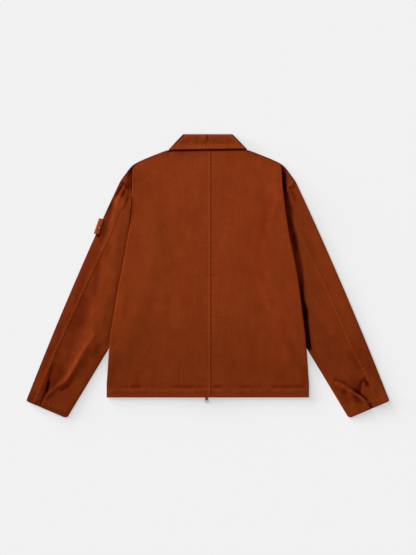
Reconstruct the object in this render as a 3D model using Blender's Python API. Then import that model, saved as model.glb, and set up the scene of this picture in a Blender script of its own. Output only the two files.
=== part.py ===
"""Overshirt laid flat on its front, back side up: cloth walls, collar, two-way zip and sleeve tab.

Frame: +X across the garment, +Y from hem to collar, +Z up from the surface it lies on, origin on that
surface at the middle of the garment's box. Sizes and tables are in millimetres and are turned into
metres where a mesh is made. A side is -1 for left and +1 for right; "out" is the distance from the
middle line on either side.
"""
import math

import bmesh
import bpy
import numpy as np
from mathutils import Matrix, Vector

MM = 0.001

# driving sizes
CLOTH = 1.0                 # wall of one ply of the body cloth
COLLAR_CLOTH = 1.6          # two plies with interlining
GAP = 0.35                  # between pieces that touch or are sewn edge to edge
LAYER = CLOTH + GAP         # from the middle of one ply to the next
HEM_Y = -333.0
CENTRE_SEAM_X = 8.2         # centre-back seam, pulled a little to the right
ZIP_X = -3.2                # zip line on the front
ZIP_HALF = 6.0              # from the zip line to the edge of each front
SHOULDER = (241.0, 260.0)   # out, y where the armhole meets the shoulder edge
UNDERARM = (176.0, 34.0)
ARMHOLE_PULL = (174.0, 196.0)   # control point of the armhole's curve
CROTCH = (270.8, -196.0)    # where the sleeve leaves the body's side
CUFF_OUTER = (499.0, -343.0)
CUFF_INNER = (388.0, -390.5)
SLEEVE_BULGE = 5.5
SLEEVE_FOLD = 1.5           # height of a sleeve's folded edge
SLEEVE_PUFF = 1.45
UNDER_SLEEVE_SEAM = 0.78    # share of the sleeve's width where its front seam lies
SEAM_INSET = (8.0, 110.0, 60.0)     # below the armhole: how far in, from this y, over this length
FOLD_STEP = 1.6             # run of a panel's step down to the armhole seam, beyond the fold
SEAM_CLOSE = 7.5            # width over which the two plies close on each other at the side seam
EDGE_RISE = 0.4             # room left under the shoulder edge

# levels of the middle of each ply, from the surface up
FRONT_Z = CLOTH / 2
FRONT_RETURN_Z = FRONT_Z + LAYER
SLEEVE_Z = FRONT_RETURN_Z + LAYER
BACK_Z = 4.6
BACK_SIDE_Z = 9.4
BACK_RETURN_DROP = 1.9
SLEEVE_OUT = (25.0, 45.0)   # sleeve comes down to the surface from this far outside the fold, over this
SLEEVE_DOWN_Y = -262.0      # below this y nothing of the sleeve lies in the body
SLEEVE_DOWN_RUN = (50.0, 60.0)      # length of that slope in the sleeve and in the back over it

# shoulder edge from the neck down to the sleeve head, and the two necklines: out, y
SHOULDER_EDGE = ((104.0, 347.0), (113.0, 345.5), (121.0, 342.9), (149.7, 331.9), (176.3, 320.9),
                 (199.0, 309.9), (212.6, 298.9), (225.0, 282.6), (241.0, 260.0), (320.0, 85.0))
BACK_NECK = ((0.0, 353.0), (74.0, 353.0), (92.0, 350.8))
FRONT_NECK = ((0.0, 266.0), (20.0, 267.5), (50.0, 276.5), (76.0, 296.0), (92.0, 318.0))
NECK_COLUMNS = (20.0, 50.0, 76.0, 92.0, 104.0)

# fold at the body's side: y, out on the left, out on the right
SIDE_FOLD = ((306.0, 204.5, 202.0), (258.0, 205.8, 204.0), (214.0, 205.8, 209.4), (170.0, 208.6, 214.9),
             (104.0, 219.6, 226.0), (38.0, 230.6, 239.7), (-28.0, 244.3, 250.7), (-94.0, 255.3, 258.9),
             (-160.0, 266.3, 267.2), (-204.0, 271.0, 271.0), (-270.0, 275.8, 275.8),
             (-300.0, 277.6, 277.6), (-333.0, 277.6, 277.6))

# seam along the back of the arm: share of the sleeve's length, share of its width left and right
ARM_SEAM = ((0.0, 0.27, 0.33), (0.07, 0.205, 0.325), (0.2, 0.226, 0.31), (0.36, 0.207, 0.295),
            (0.5, 0.2, 0.277), (0.74, 0.192, 0.3), (0.84, 0.195, 0.273), (0.93, 0.3, 0.35),
            (1.0, 0.345, 0.42))

# heights on the body's side, read where a row crosses the fold: y
PANEL_ROWS = (-333.0, -262.0, -212.0, -190.0, -120.0, -50.0, -2.0, 34.0, 130.0, 190.0, 212.0, 224.0,
              250.0, 280.0, 296.0, 304.0, 306.5)
SLEEVE_ROWS = (0.0007, 0.05, 0.11, 0.18, 0.26, 0.36, 0.46, 0.56, 0.67, 0.78, 0.89, 1.0)

# collar, flattened: back half and front half meet at a slanted turn. out, y
COLLAR_ROLL = (67.0, 390.0)
COLLAR_TURN = (107.0, 348.0)
COLLAR_FALL_Y = 349.0
COLLAR_FRONT = (4.0, 272.0)
COLLAR_POINT = (66.0, 222.0)
STAND_ROLL = (64.5, 387.8)
STAND_TURN = (99.6, 351.4)
LEAF_Z = (7.45, COLLAR_CLOTH / 2)
STAND_Z = (5.5, COLLAR_CLOTH * 1.5 + GAP)

# zip
TAPE_WIDTH = 14.0
SLIDER_WIDTH = 8.4
SLIDER_LENGTH = 11.0
PLATE = 0.8
CHANNEL = 1.8               # between a slider's plates
BRIDGE_BAR = 0.9
BRIDGE_EYE = 1.7            # free height under the bridge
RING_MID_RADIUS = 4.3
RING_WIRE = (1.45, 0.7)     # half width and half thickness, round where it turns in the bridge
BRIDGE_HALF = 0.8
LOWER_PIVOT_Y = -338.5
UPPER_PIVOT_Y = 259.5
SLIDER_LIFT = 2.45

# sleeve tab on the left arm: share of the sleeve's length, reach on the back and front
TAB_SPAN = (0.1745, 0.2435)
TAB_CLOTH = 1.5
TAB_PROUD = (9.0, 5.6)      # beyond the sleeve's edge, at the tab's upper and lower side
TAB_BACK = (2.7, 6.4)       # reach over the back, at its upper and lower side
TAB_FRONT = 24.0
TAB_SKEW = 0.67             # slant of its ends against the sleeve's width
TAB_SKEW_REACH = (-10.0, 6.0)
BUTTON_AT = (0.212, -0.3)   # share of the sleeve's length, reach in from the sleeve's edge
BUTTON_RADIUS = 5.6
BUTTON_THICK = 2.0

COLOURS = {                 # linear base colour, roughness, metallic
    "cotton": ((0.22, 0.035, 0.008, 1.0), 0.85, 0.0),
    "tape": ((0.14, 0.022, 0.006, 1.0), 0.8, 0.0),
    "dyed_metal": ((0.16, 0.05, 0.02, 1.0), 0.45, 0.6),
    "metal": ((0.33, 0.28, 0.28, 1.0), 0.35, 0.9),
    "button": ((0.04, 0.012, 0.006, 1.0), 0.4, 0.0),
}


def smooth(share):
    """Ease from 0 to 1 as the share goes from 0 to 1."""
    share = np.clip(share, 0.0, 1.0)
    return share * share * (3.0 - 2.0 * share)


def read(table, value, column=1):
    """Straight interpolation of one column of a table against its first column."""
    rows = sorted(table)
    return np.interp(value, [row[0] for row in rows], [row[column] for row in rows])


# ---- the garment's plan ----

def fold_out(side, y):
    return read(SIDE_FOLD, y, 1 if side < 0 else 2)


def armhole(share):
    """Quadratic curve from the shoulder's end (0) to the underarm (1): out, y."""
    share = np.asarray(share, float)[..., None]
    start, pull, end = (np.array(point) for point in (SHOULDER, ARMHOLE_PULL, UNDERARM))
    return (1 - share) ** 2 * start + 2 * share * (1 - share) * pull + share ** 2 * end


def inner_edge_out(y):
    """The sleeve's inner edge where it lies inside the body."""
    slope = (CROTCH[0] - UNDERARM[0]) / (UNDERARM[1] - CROTCH[1])
    return UNDERARM[0] + slope * (UNDERARM[1] - y)


def panel_edge_out(side, y):
    """Where a body panel ends: armhole seam above the underarm, side seam below it."""
    curve = armhole(np.linspace(0, 1, 41))[::-1]
    arm = np.interp(y, curve[:, 1], curve[:, 0])
    base = np.where(y > UNDERARM[1], arm, inner_edge_out(y)) \
        - SEAM_INSET[0] * smooth((SEAM_INSET[1] - y) / SEAM_INSET[2])
    return np.where(y > 150.0, base, np.minimum(base, fold_out(side, y) - 5.0))


def top_y(out, face):
    """Upper edge of a body panel: neckline, then the shoulder edge."""
    neck = BACK_NECK if face > 0 else FRONT_NECK
    return read(neck + SHOULDER_EDGE, out)


def sleeve_outer(share):
    start, end = np.array(SHOULDER), np.array(CUFF_OUTER)
    along = (end - start) / np.linalg.norm(end - start)
    normal = np.array((-along[1], along[0]))
    share = np.asarray(share, float)[..., None]
    return start + (end - start) * share + normal * SLEEVE_BULGE * 4 * share * (1 - share)


def sleeve_inner(share):
    under, crotch, cuff = (np.array(point) for point in (UNDERARM, CROTCH, CUFF_INNER))
    first = np.linalg.norm(crotch - under)
    knee = first / (first + np.linalg.norm(cuff - crotch))
    share = np.asarray(share, float)[..., None]
    return np.where(share < knee, under + (crotch - under) * (share / knee),
                    crotch + (cuff - crotch) * ((share - knee) / (1 - knee)))


def sleeve_plan(share, width):
    """Point of the sleeve at a share of its length and of its width from the outer edge."""
    share, width = np.broadcast_arrays(np.asarray(share, float), np.asarray(width, float))
    across = width[..., None]
    chord = (1 - across) * sleeve_outer(share) + across * sleeve_inner(share)
    head = (1 - across) * np.array(SHOULDER) + across * np.array(UNDERARM)
    return chord + (1 - share[..., None]) ** 2 * (armhole(width) - head)


# ---- heights ----

def near_slider(side_x, y):
    """1 at the two sliders and their pulls, easing to 0 around them."""
    across = smooth(1 - (np.abs(side_x - ZIP_X) - 24.0) / 34.0)
    low = smooth(1 - (np.abs(y - LOWER_PIVOT_Y - 2.0) - 26.0) / 34.0)
    high = smooth(1 - (np.abs(y - UPPER_PIVOT_Y + 6.0) - 22.0) / 34.0)
    return across * np.maximum(low, high)


def under_leaf(out, y):
    """1 where the collar leaf lies under a front."""
    point, turn, front = (np.array(spot) for spot in (COLLAR_POINT, COLLAR_TURN, COLLAR_FRONT))

    def beyond(start, end):
        along = (end - start) / np.linalg.norm(end - start)
        return (y - start[1]) * along[0] - (out - start[0]) * along[1]

    return smooth((beyond(point, turn) + 34.0) / 14.0) * smooth((34.0 - beyond(point, front)) / 14.0)


def front_z(side, out, y):
    """Outer ply of the front: on the surface, lifted by the leaf, the zip and its sliders."""
    side_x = side * out
    zip_lift = 1.2 * smooth(1 - (np.abs(side_x - ZIP_X) - 7.0) / 16.0)
    lift = np.maximum(zip_lift, SLIDER_LIFT * near_slider(side_x, y))
    leaf_lift = (COLLAR_CLOTH + GAP) * under_leaf(out, y)
    return FRONT_Z + np.maximum(lift, leaf_lift)


def below_shoulder(out, y):
    return smooth((top_y(out, 1) - y) / 45.0)


def sleeve_low_z(side, out, y):
    """Lower ply of the sleeve: inside the body's folds, and down to the surface outside them."""
    inside = 1 - smooth((out - fold_out(side, y) - SLEEVE_OUT[0]) / SLEEVE_OUT[1])
    rise = inside * below_shoulder(out, y) * smooth((y - SLEEVE_DOWN_Y) / SLEEVE_DOWN_RUN[0])
    tab = (TAB_CLOTH + GAP) * float(side < 0) * smooth((92.0 - np.abs(y - 130.0)) / 36.0)
    return FRONT_Z + (SLEEVE_Z - FRONT_Z) * rise + tab * smooth((out - 225.0) / 20.0) * (1 - inside)


def back_z(side, out, y):
    """Outer ply of the back: low in the middle, up over the sleeves, down at the shoulder edge."""
    rise = smooth((out - panel_edge_out(side, y) + 75.0) / 70.0) \
        * smooth((y - SLEEVE_DOWN_Y) / SLEEVE_DOWN_RUN[1])
    neck = 0.9 * smooth((y - 300.0) / 45.0) * smooth((125.0 - out) / 40.0)
    slider = 2.4 * near_slider(side * out, y)
    return BACK_Z + (BACK_SIDE_Z - BACK_Z) * rise * below_shoulder(out, y) + np.maximum(neck, slider)


# ---- cloth walls ----

def cloth_wall(name, middle, thickness, material):
    """Closed wall of one thickness about a grid of middle points, rows by columns."""
    down = np.gradient(middle, axis=0)
    across = np.gradient(middle, axis=1)
    normal = np.cross(across, down)
    normal /= np.linalg.norm(normal, axis=2, keepdims=True)
    rows, columns = middle.shape[:2]
    points = np.concatenate([(middle + normal * thickness / 2).reshape(-1, 3),
                             (middle - normal * thickness / 2).reshape(-1, 3)]) * MM
    index = np.arange(rows * columns).reshape(rows, columns)
    quads = np.stack([index[:-1, :-1], index[:-1, 1:], index[1:, 1:], index[1:, :-1]], -1).reshape(-1, 4)
    rim = np.concatenate([index[0, :], index[1:, -1], index[-1, -2::-1], index[-2:0:-1, 0]])
    after = np.roll(rim, -1)
    count = rows * columns
    walls = np.stack([rim, rim + count, after + count, after], -1)
    faces = np.concatenate([quads, quads[:, ::-1] + count, walls])
    mesh = bpy.data.meshes.new(name)
    mesh.from_pydata(points.tolist(), [], faces.tolist())
    solid = bmesh.new()
    solid.from_mesh(mesh)
    bmesh.ops.recalc_face_normals(solid, faces=solid.faces)
    bmesh.ops.triangulate(solid, faces=solid.faces)
    solid.to_mesh(mesh)
    solid.free()
    mesh.shade_smooth()
    mesh.set_sharp_from_angle(angle=math.radians(50))
    return place(name, mesh, material)


def place(name, mesh, material):
    piece = bpy.data.objects.new(name, mesh)
    bpy.context.collection.objects.link(piece)
    mesh.materials.clear()
    mesh.materials.append(material)
    return piece


# ---- body ----

SIDE_COLUMNS = np.array((0.35, 0.7, 0.9, 1.0))
TURN_STEPS = np.array((0.25, 0.5, 0.75, 1.0))


def row_y(level, out, face):
    return HEM_Y + level * (top_y(out, face) - HEM_Y)


def settle(level, face, edge):
    """The out at which a row of a panel crosses an edge given as out against y."""
    out = np.linspace(150.0, 290.0, 1401)
    return out[np.argmin(np.abs(edge(row_y(level, out, face)) - out))]


def body_panel(side, face):
    """Half a back (face 1) or half a front (face -1).

    Each row runs out from the middle, turns at the side fold and goes back in to its seam. Near the
    shoulder the fold is only a step, and the row goes on outwards to the armhole seam instead.
    """
    middle = []
    inset = 0.0 if face > 0 else 1.0
    if face > 0:
        start = side * CENTRE_SEAM_X + GAP / 2
    else:
        start = side * ZIP_X + ZIP_HALF
    for y_at_fold in PANEL_ROWS:
        fold_here = fold_out(side, y_at_fold)
        level = (y_at_fold - HEM_Y) / (top_y(fold_here, 1) - HEM_Y)
        level = min(level, 1.0)
        fold = settle(level, face, lambda y: fold_out(side, y)) - inset
        edge = settle(level, face, lambda y: panel_edge_out(side, y))
        fold_y = row_y(level, fold, face)
        outer_z = back_z(side, fold, fold_y) if face > 0 else front_z(side, fold, fold_y)
        spread = (back_z(side, fold, fold_y) + FRONT_Z) / 2
        wrapped = smooth((fold_y + 215.0) / 25.0)
        seam_z = spread + face * LAYER / 2
        return_z = BACK_SIDE_Z - BACK_RETURN_DROP if face > 0 else FRONT_RETURN_Z
        return_z = seam_z + (return_z - seam_z) * wrapped
        radius = abs(outer_z - return_z) / 2
        stepped = smooth((fold_y - 212.0) / 12.0)
        if stepped > 0:
            radius = max(radius, 0.7) * (1 - stepped) + 1.0 * stepped

        neck_end = NECK_COLUMNS[-1]
        top_out = np.concatenate([[start], NECK_COLUMNS,
                                  neck_end + (fold - radius - neck_end) * SIDE_COLUMNS])
        top_heights = back_z(side, top_out, row_y(level, top_out, face)) if face > 0 else \
            front_z(side, top_out, row_y(level, top_out, face))

        turn = np.pi * TURN_STEPS
        back_out = fold - radius + radius * np.sin(turn)
        back_height = (outer_z + return_z) / 2 + (outer_z - return_z) / 2 * np.cos(turn)
        end = min(edge, fold - radius - 2.0)
        length = fold - radius - end
        near = min(8.0, 0.6 * length)
        home_out = end + np.array(((length + near) / 2, near, near / 2, 0.0))
        close = smooth(1 - (home_out - end) / SEAM_CLOSE) \
            * float(row_y(level, end, face) < UNDERARM[1] - 2.0)
        home_height = return_z + (seam_z - return_z) * close

        step_out = fold - radius + (radius + FOLD_STEP) * TURN_STEPS
        sleeve_lift = SLEEVE_FOLD if face > 0 else 0.0
        foot_out = fold + FOLD_STEP
        wedge_end = max(edge - GAP, foot_out + FOLD_STEP / 2)
        wedge_out = foot_out + (wedge_end - foot_out) * np.array((0.3, 0.6, 0.85, 1.0))
        foot = sleeve_low_z(side, foot_out, row_y(level, foot_out, face)) + sleeve_lift
        step_height = outer_z + (foot - outer_z) * smooth(TURN_STEPS)
        wedge_height = sleeve_low_z(side, wedge_out, row_y(level, wedge_out, face)) + sleeve_lift

        far_out = np.concatenate([back_out, home_out]) * (1 - stepped) \
            + np.concatenate([step_out, wedge_out]) * stepped
        far_height = np.concatenate([back_height, home_height]) * (1 - stepped) \
            + np.concatenate([step_height, wedge_height]) * stepped
        out = np.concatenate([top_out, far_out])
        height = np.concatenate([top_heights, far_height])
        y = row_y(level, out, face)
        if face > 0:
            edge_share = smooth((level - 0.965) / 0.035) ** 2 * smooth((out - 96.0) / 14.0)
            seat = front_z(side, out, y) + LAYER + EDGE_RISE
            height = height + (seat - height) * edge_share
        middle.append(np.stack([side * out, y, height], -1))
    name = ("back" if face > 0 else "front") + ("_left" if side < 0 else "_right")
    return cloth_wall(name, np.array(middle), CLOTH, MATERIALS["cotton"])


# ---- sleeves ----

def sleeve_section(side, share, width, upper):
    """Plan and height of one ply of the sleeve."""
    plan = sleeve_plan(share, width)
    low = sleeve_low_z(side, plan[..., 0], plan[..., 1])
    if not upper:
        return plan, low
    puff = SLEEVE_PUFF * np.sin(np.pi * np.clip(width, 0, 1)) ** 0.6 * smooth(np.asarray(share) / 0.12)
    return plan, low + SLEEVE_FOLD + puff


def sleeve_panel(side, part):
    """Upper or under sleeve: each wraps one edge of the flattened sleeve, from seam to seam."""
    rows = []
    radius = SLEEVE_FOLD / 2
    for share in SLEEVE_ROWS:
        seam = read(ARM_SEAM, share, 1 if side < 0 else 2)
        reach = np.linalg.norm(sleeve_inner(share) - sleeve_outer(share))
        half_gap = GAP / 2 / reach
        tuck = radius / reach
        if part == "upper":
            above = np.linspace(seam - half_gap, tuck, 5)
            below = np.linspace(tuck, UNDER_SLEEVE_SEAM - half_gap, 6)
            rim, outward = 0.0, -1.0
        else:
            above = np.linspace(seam + half_gap, 1 - tuck, 8)
            below = np.linspace(1 - tuck, UNDER_SLEEVE_SEAM + half_gap, 3)
            rim, outward = 1.0, 1.0
        plan_up, up = sleeve_section(side, share, above, True)
        plan_low, low = sleeve_section(side, share, below, False)
        turn = np.pi * np.array((0.25, 0.5, 0.75))
        fold_width = rim - outward * tuck * (1 - np.sin(turn))
        plan_fold = sleeve_plan(share, fold_width)
        fold_height = (up[-1] + low[0]) / 2 + (up[-1] - low[0]) / 2 * np.cos(turn)
        plan = np.concatenate([plan_up, plan_fold, plan_low])
        height = np.concatenate([up, fold_height, low])
        rows.append(np.column_stack([side * plan[:, 0], plan[:, 1], height]))
    name = part + "_sleeve" + ("_left" if side < 0 else "_right")
    return cloth_wall(name, np.array(rows), CLOTH, MATERIALS["cotton"])


# ---- collar ----

def collar_band(name, roll, turn, fall_y, front_line, heights, bulge):
    """Band round the neck, flattened: back half, slanted turn at each side, front half below.

    front_line gives the band's outer edge on the front, from the turn to the centre front.
    """
    half = []
    for share in np.linspace(0, 1, 5)[:-1]:
        half.append(((roll[0] * share, roll[1]), (turn[0] * share, fall_y), heights[0]))
    slant = np.array((roll[1] - turn[1], turn[0] - roll[0]))
    slant = slant / np.linalg.norm(slant)
    middle_z = (heights[0] + heights[1]) / 2
    half_z = (heights[0] - heights[1]) / 2
    for angle in np.radians((90, 45, 0, -45, -90)):
        shift = slant * bulge * (math.cos(angle) - 1)
        half.append((np.array(roll) + shift, np.array(turn) + shift, middle_z + half_z * math.sin(angle)))
    end_roll = np.array((COLLAR_FRONT[0] + (0.0 if name == "collar_leaf" else 2.0), COLLAR_FRONT[1]))
    for share, edge in zip(np.linspace(0, 1, len(front_line) + 1)[1:], front_line):
        start = np.array(roll) - slant * bulge
        half.append((start + (end_roll - start) * share, edge, heights[1]))
    grid = []
    for side, stations in ((-1, half[:0:-1]), (1, half)):
        for top, bottom, height in stations:
            top, bottom = np.array(top), np.array(bottom)
            line = top + (bottom - top) * np.linspace(0, 1, 3)[:, None]
            grid.append(np.column_stack([side * line[:, 0], line[:, 1], np.full(3, height)]))
    return cloth_wall(name, np.array(grid), COLLAR_CLOTH, MATERIALS["cotton"])


def build_collar():
    turn, point = np.array(COLLAR_TURN), np.array(COLLAR_POINT)
    leaf_edge = [turn + (point - turn) * share - np.array((0.9, 1.2)) for share in (0.3, 0.65, 1.0)]
    collar_band("collar_leaf", COLLAR_ROLL, COLLAR_TURN, COLLAR_FALL_Y, leaf_edge, LEAF_Z, 1.8)
    neck = np.array(FRONT_NECK[::-1])
    moved = neck + np.array([(-1.3, 0.8), (-1.1, 0.9), (-0.6, 1.1), (-0.2, 1.3), (6.0, 1.4)])
    collar_band("collar_stand", STAND_ROLL, STAND_TURN, BACK_NECK[0][1] + GAP, list(moved), STAND_Z, 0.9)


# ---- zip ----

def box(name, low, high):
    mesh = bpy.data.meshes.new(name)
    solid = bmesh.new()
    size = Vector(high) - Vector(low)
    bmesh.ops.create_cube(solid, size=1.0, matrix=Matrix.Translation((Vector(low) + size / 2) * MM)
                          @ Matrix.Diagonal((*(size * MM), 1.0)))
    solid.to_mesh(mesh)
    solid.free()
    return mesh


def united(name, boxes, material):
    """One solid from several boxes that overlap."""
    body = place(name, box(name, *boxes[0]), material)
    for number, corners in enumerate(boxes[1:]):
        tool = place(f"{name}_part{number}", box(name + "_part", *corners), material)
        tool.hide_render = True
        tool.display_type = "WIRE"
        join = body.modifiers.new("join", "BOOLEAN")
        join.operation = "UNION"
        join.object = tool
    return body


def zip_tape(side):
    """Tape behind one front edge, from the hem to the neck."""
    rows = []
    for y in (HEM_Y + 1.5, -320.0, -300.0, -270.0, 0.0, 200.0, 225.0, 245.0, 264.0):
        out_x = ZIP_X + side * np.array((0.9, 4.0, 7.5, TAPE_WIDTH))
        height = (front_z(1, out_x, y) + LAYER).max()
        rows.append([(x, y, height) for x in out_x])
    name = "zip_tape" + ("_left" if side < 0 else "_right")
    return cloth_wall(name, np.array(rows), CLOTH, MATERIALS["tape"])


def zip_slider(name, pivot_y, wedge_end):
    """Two plates joined by a post between the tapes, with a bridge under them for the pull."""
    plate_low = BRIDGE_BAR + BRIDGE_EYE
    plate_high = plate_low + PLATE
    inner_low = plate_high + CHANNEL
    half = SLIDER_WIDTH / 2
    clear = RING_WIRE[0] + 0.4
    foot = 1.0
    post = BRIDGE_HALF - 0.05
    low_y, high_y = pivot_y - clear - foot, pivot_y + clear + foot
    plate_y = (low_y, low_y + SLIDER_LENGTH) if wedge_end < 0 else (high_y - SLIDER_LENGTH, high_y)
    post_y = (plate_y[0], plate_y[0] + 1.6) if wedge_end < 0 else (plate_y[1] - 1.6, plate_y[1])
    parts = [((ZIP_X - half, plate_y[0], plate_low), (ZIP_X + half, plate_y[1], plate_high)),
             ((ZIP_X - half + 0.2, plate_y[0] + 0.1, inner_low),
              (ZIP_X + half - 0.2, plate_y[1] - 0.1, inner_low + PLATE)),
             ((ZIP_X - 0.5, post_y[0] + 0.2, plate_low + 0.4), (ZIP_X + 0.5, post_y[1], inner_low + 0.4)),
             ((ZIP_X - BRIDGE_HALF, low_y + 0.05, 0.0), (ZIP_X + BRIDGE_HALF, high_y - 0.05, BRIDGE_BAR)),
             ((ZIP_X - post, low_y + 0.1, 0.3), (ZIP_X + post, low_y + foot, plate_low + 0.3)),
             ((ZIP_X - post, high_y - foot, 0.3), (ZIP_X + post, high_y - 0.1, plate_low + 0.3))]
    return united(name, parts, MATERIALS["dyed_metal"])


def zip_pull(name, pivot_y):
    """Flat ring through the slider's bridge; its origin is on the hinge line in the bridge."""
    pivot = Vector((ZIP_X, pivot_y, BRIDGE_BAR + BRIDGE_EYE / 2)) * MM
    mesh = bpy.data.meshes.new(name)
    steps, sides = 24, 8
    around = np.linspace(0, 2 * np.pi, steps, endpoint=False)[:, None]
    corner = np.linspace(0, 2 * np.pi, sides, endpoint=False)[None, :] + np.pi / sides
    wide = RING_WIRE[1] + (RING_WIRE[0] - RING_WIRE[1]) * smooth((1 - np.cos(around)) * 0.8)
    thick = RING_WIRE[1]
    reach = RING_MID_RADIUS + wide * np.cos(corner)
    points = np.stack([reach * np.sin(around), -RING_MID_RADIUS + reach * np.cos(around),
                       thick * np.sin(corner) + 0 * around], -1).reshape(-1, 3) * MM
    index = np.arange(steps * sides).reshape(steps, sides)
    beside, above = np.roll(index, -1, axis=0), np.roll(index, -1, axis=1)
    faces = np.stack([index, above, np.roll(above, -1, axis=0), beside], -1).reshape(-1, 4)
    mesh.from_pydata(points.tolist(), [], faces.tolist())
    solid = bmesh.new()
    solid.from_mesh(mesh)
    bmesh.ops.recalc_face_normals(solid, faces=solid.faces)
    solid.to_mesh(mesh)
    solid.free()
    pull = place(name, mesh, MATERIALS["metal"])
    pull.location = pivot
    return pull


# ---- sleeve tab ----

def tab_plan(share, inwards):
    """Out, y of points reached inwards from the sleeve's outer edge, slanted against its width."""
    edge = sleeve_plan(share, 0.0)
    inward = sleeve_plan(share, 0.06) - edge
    inward = inward / np.linalg.norm(inward)
    along = np.array((-inward[1], inward[0]))
    slant = -TAB_SKEW * np.clip(inwards, *TAB_SKEW_REACH)
    return edge + inward * inwards[:, None] + along * slant[:, None]


def build_tab():
    """Strip of the same cloth round the left sleeve's outer edge, with one plain button."""
    rows = []
    low = TAB_CLOTH / 2
    rise = CLOTH / 2 + GAP + TAB_CLOTH / 2
    turn = np.pi * np.array((0.0, 0.25, 0.5, 0.75, 1.0))
    for share in np.linspace(*TAB_SPAN, 4):
        proud = np.interp(share, TAB_SPAN, TAB_PROUD) - TAB_CLOTH / 2
        back = np.interp(share, TAB_SPAN, TAB_BACK)
        reach = np.linalg.norm(sleeve_inner(share) - sleeve_outer(share))
        _, sleeve_top = sleeve_section(-1, share, np.linspace(0, back, 5) / reach, True)
        top = sleeve_top.max() + rise
        round_end = (top - low) / 2
        fold_in = round_end * (1 - np.sin(turn)) - proud
        inwards = np.concatenate([(back, back / 2), fold_in, (TAB_FRONT / 2, TAB_FRONT)])
        heights = np.concatenate([(top, top), low + round_end * (1 + np.cos(turn)), (low, low)])
        plan = tab_plan(share, inwards)
        rows.append(np.column_stack([-plan[:, 0], plan[:, 1], heights]))
    grid = np.array(rows)
    cloth_wall("sleeve_tab", grid, TAB_CLOTH, MATERIALS["cotton"])

    seat = tab_plan(BUTTON_AT[0], np.array((BUTTON_AT[1],)))[0]
    seat_z = grid[:, 0, 2].max() + TAB_CLOTH / 2 + GAP
    solid = bmesh.new()
    centre = Vector((-seat[0], seat[1], seat_z + BUTTON_THICK / 2)) * MM
    bmesh.ops.create_cone(solid, cap_ends=True, segments=24, radius1=BUTTON_RADIUS * MM,
                          radius2=BUTTON_RADIUS * MM, depth=BUTTON_THICK * MM,
                          matrix=Matrix.Translation(centre))
    mesh = bpy.data.meshes.new("sleeve_button")
    solid.to_mesh(mesh)
    solid.free()
    place("sleeve_button", mesh, MATERIALS["button"])


def make_material(name, colour, roughness, metallic):
    material = bpy.data.materials.new(name)
    material.use_nodes = True
    shader = material.node_tree.nodes["Principled BSDF"]
    shader.inputs["Base Color"].default_value = colour
    shader.inputs["Roughness"].default_value = roughness
    shader.inputs["Metallic"].default_value = metallic
    return material


for old in list(bpy.data.objects):
    bpy.data.objects.remove(old, do_unlink=True)
MATERIALS = {name: make_material(name, *look) for name, look in COLOURS.items()}

for side in (-1, 1):
    body_panel(side, 1)
    body_panel(side, -1)
    sleeve_panel(side, "upper")
    sleeve_panel(side, "under")
    zip_tape(side)
build_collar()
zip_slider("zip_slider_lower", LOWER_PIVOT_Y, -1)
zip_slider("zip_slider_upper", UPPER_PIVOT_Y, 1)
zip_pull("zip_pull_lower", LOWER_PIVOT_Y)
zip_pull("zip_pull_upper", UPPER_PIVOT_Y)
build_tab()
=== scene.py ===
"""Looks of a cotton overshirt laid flat on its front: fine cloth, seams, stitches, zip and tab.

The plan and the levels of the plies repeat the solids' own named sizes, in millimetres. Every cloth
piece is a grid of middle points made into a thin closed shell. A side is -1 for left, +1 for right,
and "out" is the distance from the middle line on either side.
"""

import math

import bpy
import numpy as np
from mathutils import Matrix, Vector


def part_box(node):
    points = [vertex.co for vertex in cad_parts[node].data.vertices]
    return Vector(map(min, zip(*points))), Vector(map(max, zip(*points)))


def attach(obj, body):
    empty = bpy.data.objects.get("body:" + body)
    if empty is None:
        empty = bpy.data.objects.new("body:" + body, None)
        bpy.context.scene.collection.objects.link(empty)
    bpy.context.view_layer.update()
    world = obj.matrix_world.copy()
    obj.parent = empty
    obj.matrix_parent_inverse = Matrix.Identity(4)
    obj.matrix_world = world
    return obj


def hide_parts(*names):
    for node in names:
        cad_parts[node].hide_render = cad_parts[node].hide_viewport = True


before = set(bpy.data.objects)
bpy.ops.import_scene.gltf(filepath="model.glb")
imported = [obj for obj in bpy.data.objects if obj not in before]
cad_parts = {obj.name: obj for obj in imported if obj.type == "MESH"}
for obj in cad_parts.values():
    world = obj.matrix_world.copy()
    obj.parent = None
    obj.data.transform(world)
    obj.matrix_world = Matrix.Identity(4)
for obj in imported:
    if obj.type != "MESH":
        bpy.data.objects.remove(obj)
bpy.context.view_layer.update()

MM = 0.001
BODY = "garment"
SIDE_NAMES = {-1: "left", 1: "right"}
COLUMN = {-1: 1, 1: 2}                  # of the tables that hold a value for either side

# plan and levels, as in the solids
CLOTH = 1.0
COLLAR_CLOTH = 1.6
GAP = 0.35
LAYER = CLOTH + GAP
HEM_Y = -333.0
CENTRE_SEAM_X = 8.2
ZIP_X = -3.2
ZIP_HALF = 6.0
SHOULDER = (241.0, 260.0)
UNDERARM = (176.0, 34.0)
ARMHOLE_PULL = (174.0, 196.0)
CROTCH = (270.8, -196.0)
CUFF_OUTER = (499.0, -343.0)
CUFF_INNER = (388.0, -390.5)
SLEEVE_BULGE = 5.5
SLEEVE_FOLD = 1.5
SLEEVE_PUFF = 1.45
UNDER_SLEEVE_SEAM = 0.78
FRONT_Z = CLOTH / 2
FRONT_RETURN_Z = FRONT_Z + LAYER
SLEEVE_Z = FRONT_RETURN_Z + LAYER
BACK_Z = 4.6
BACK_SIDE_Z = 9.4
SIDE_SWELL = {-1: -0.3, 1: 4.0}          # how far the cloth's side folds stand above the solids
FOLD_DIP = {-1: (2.2, 4.5), 1: (2.6, 15.0)}         # hollow just outside a side fold: depth, reach
STEP_SHADE = {-1: 0.55, 1: 1.0}         # painted shade where the back steps down by the shoulder
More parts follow.
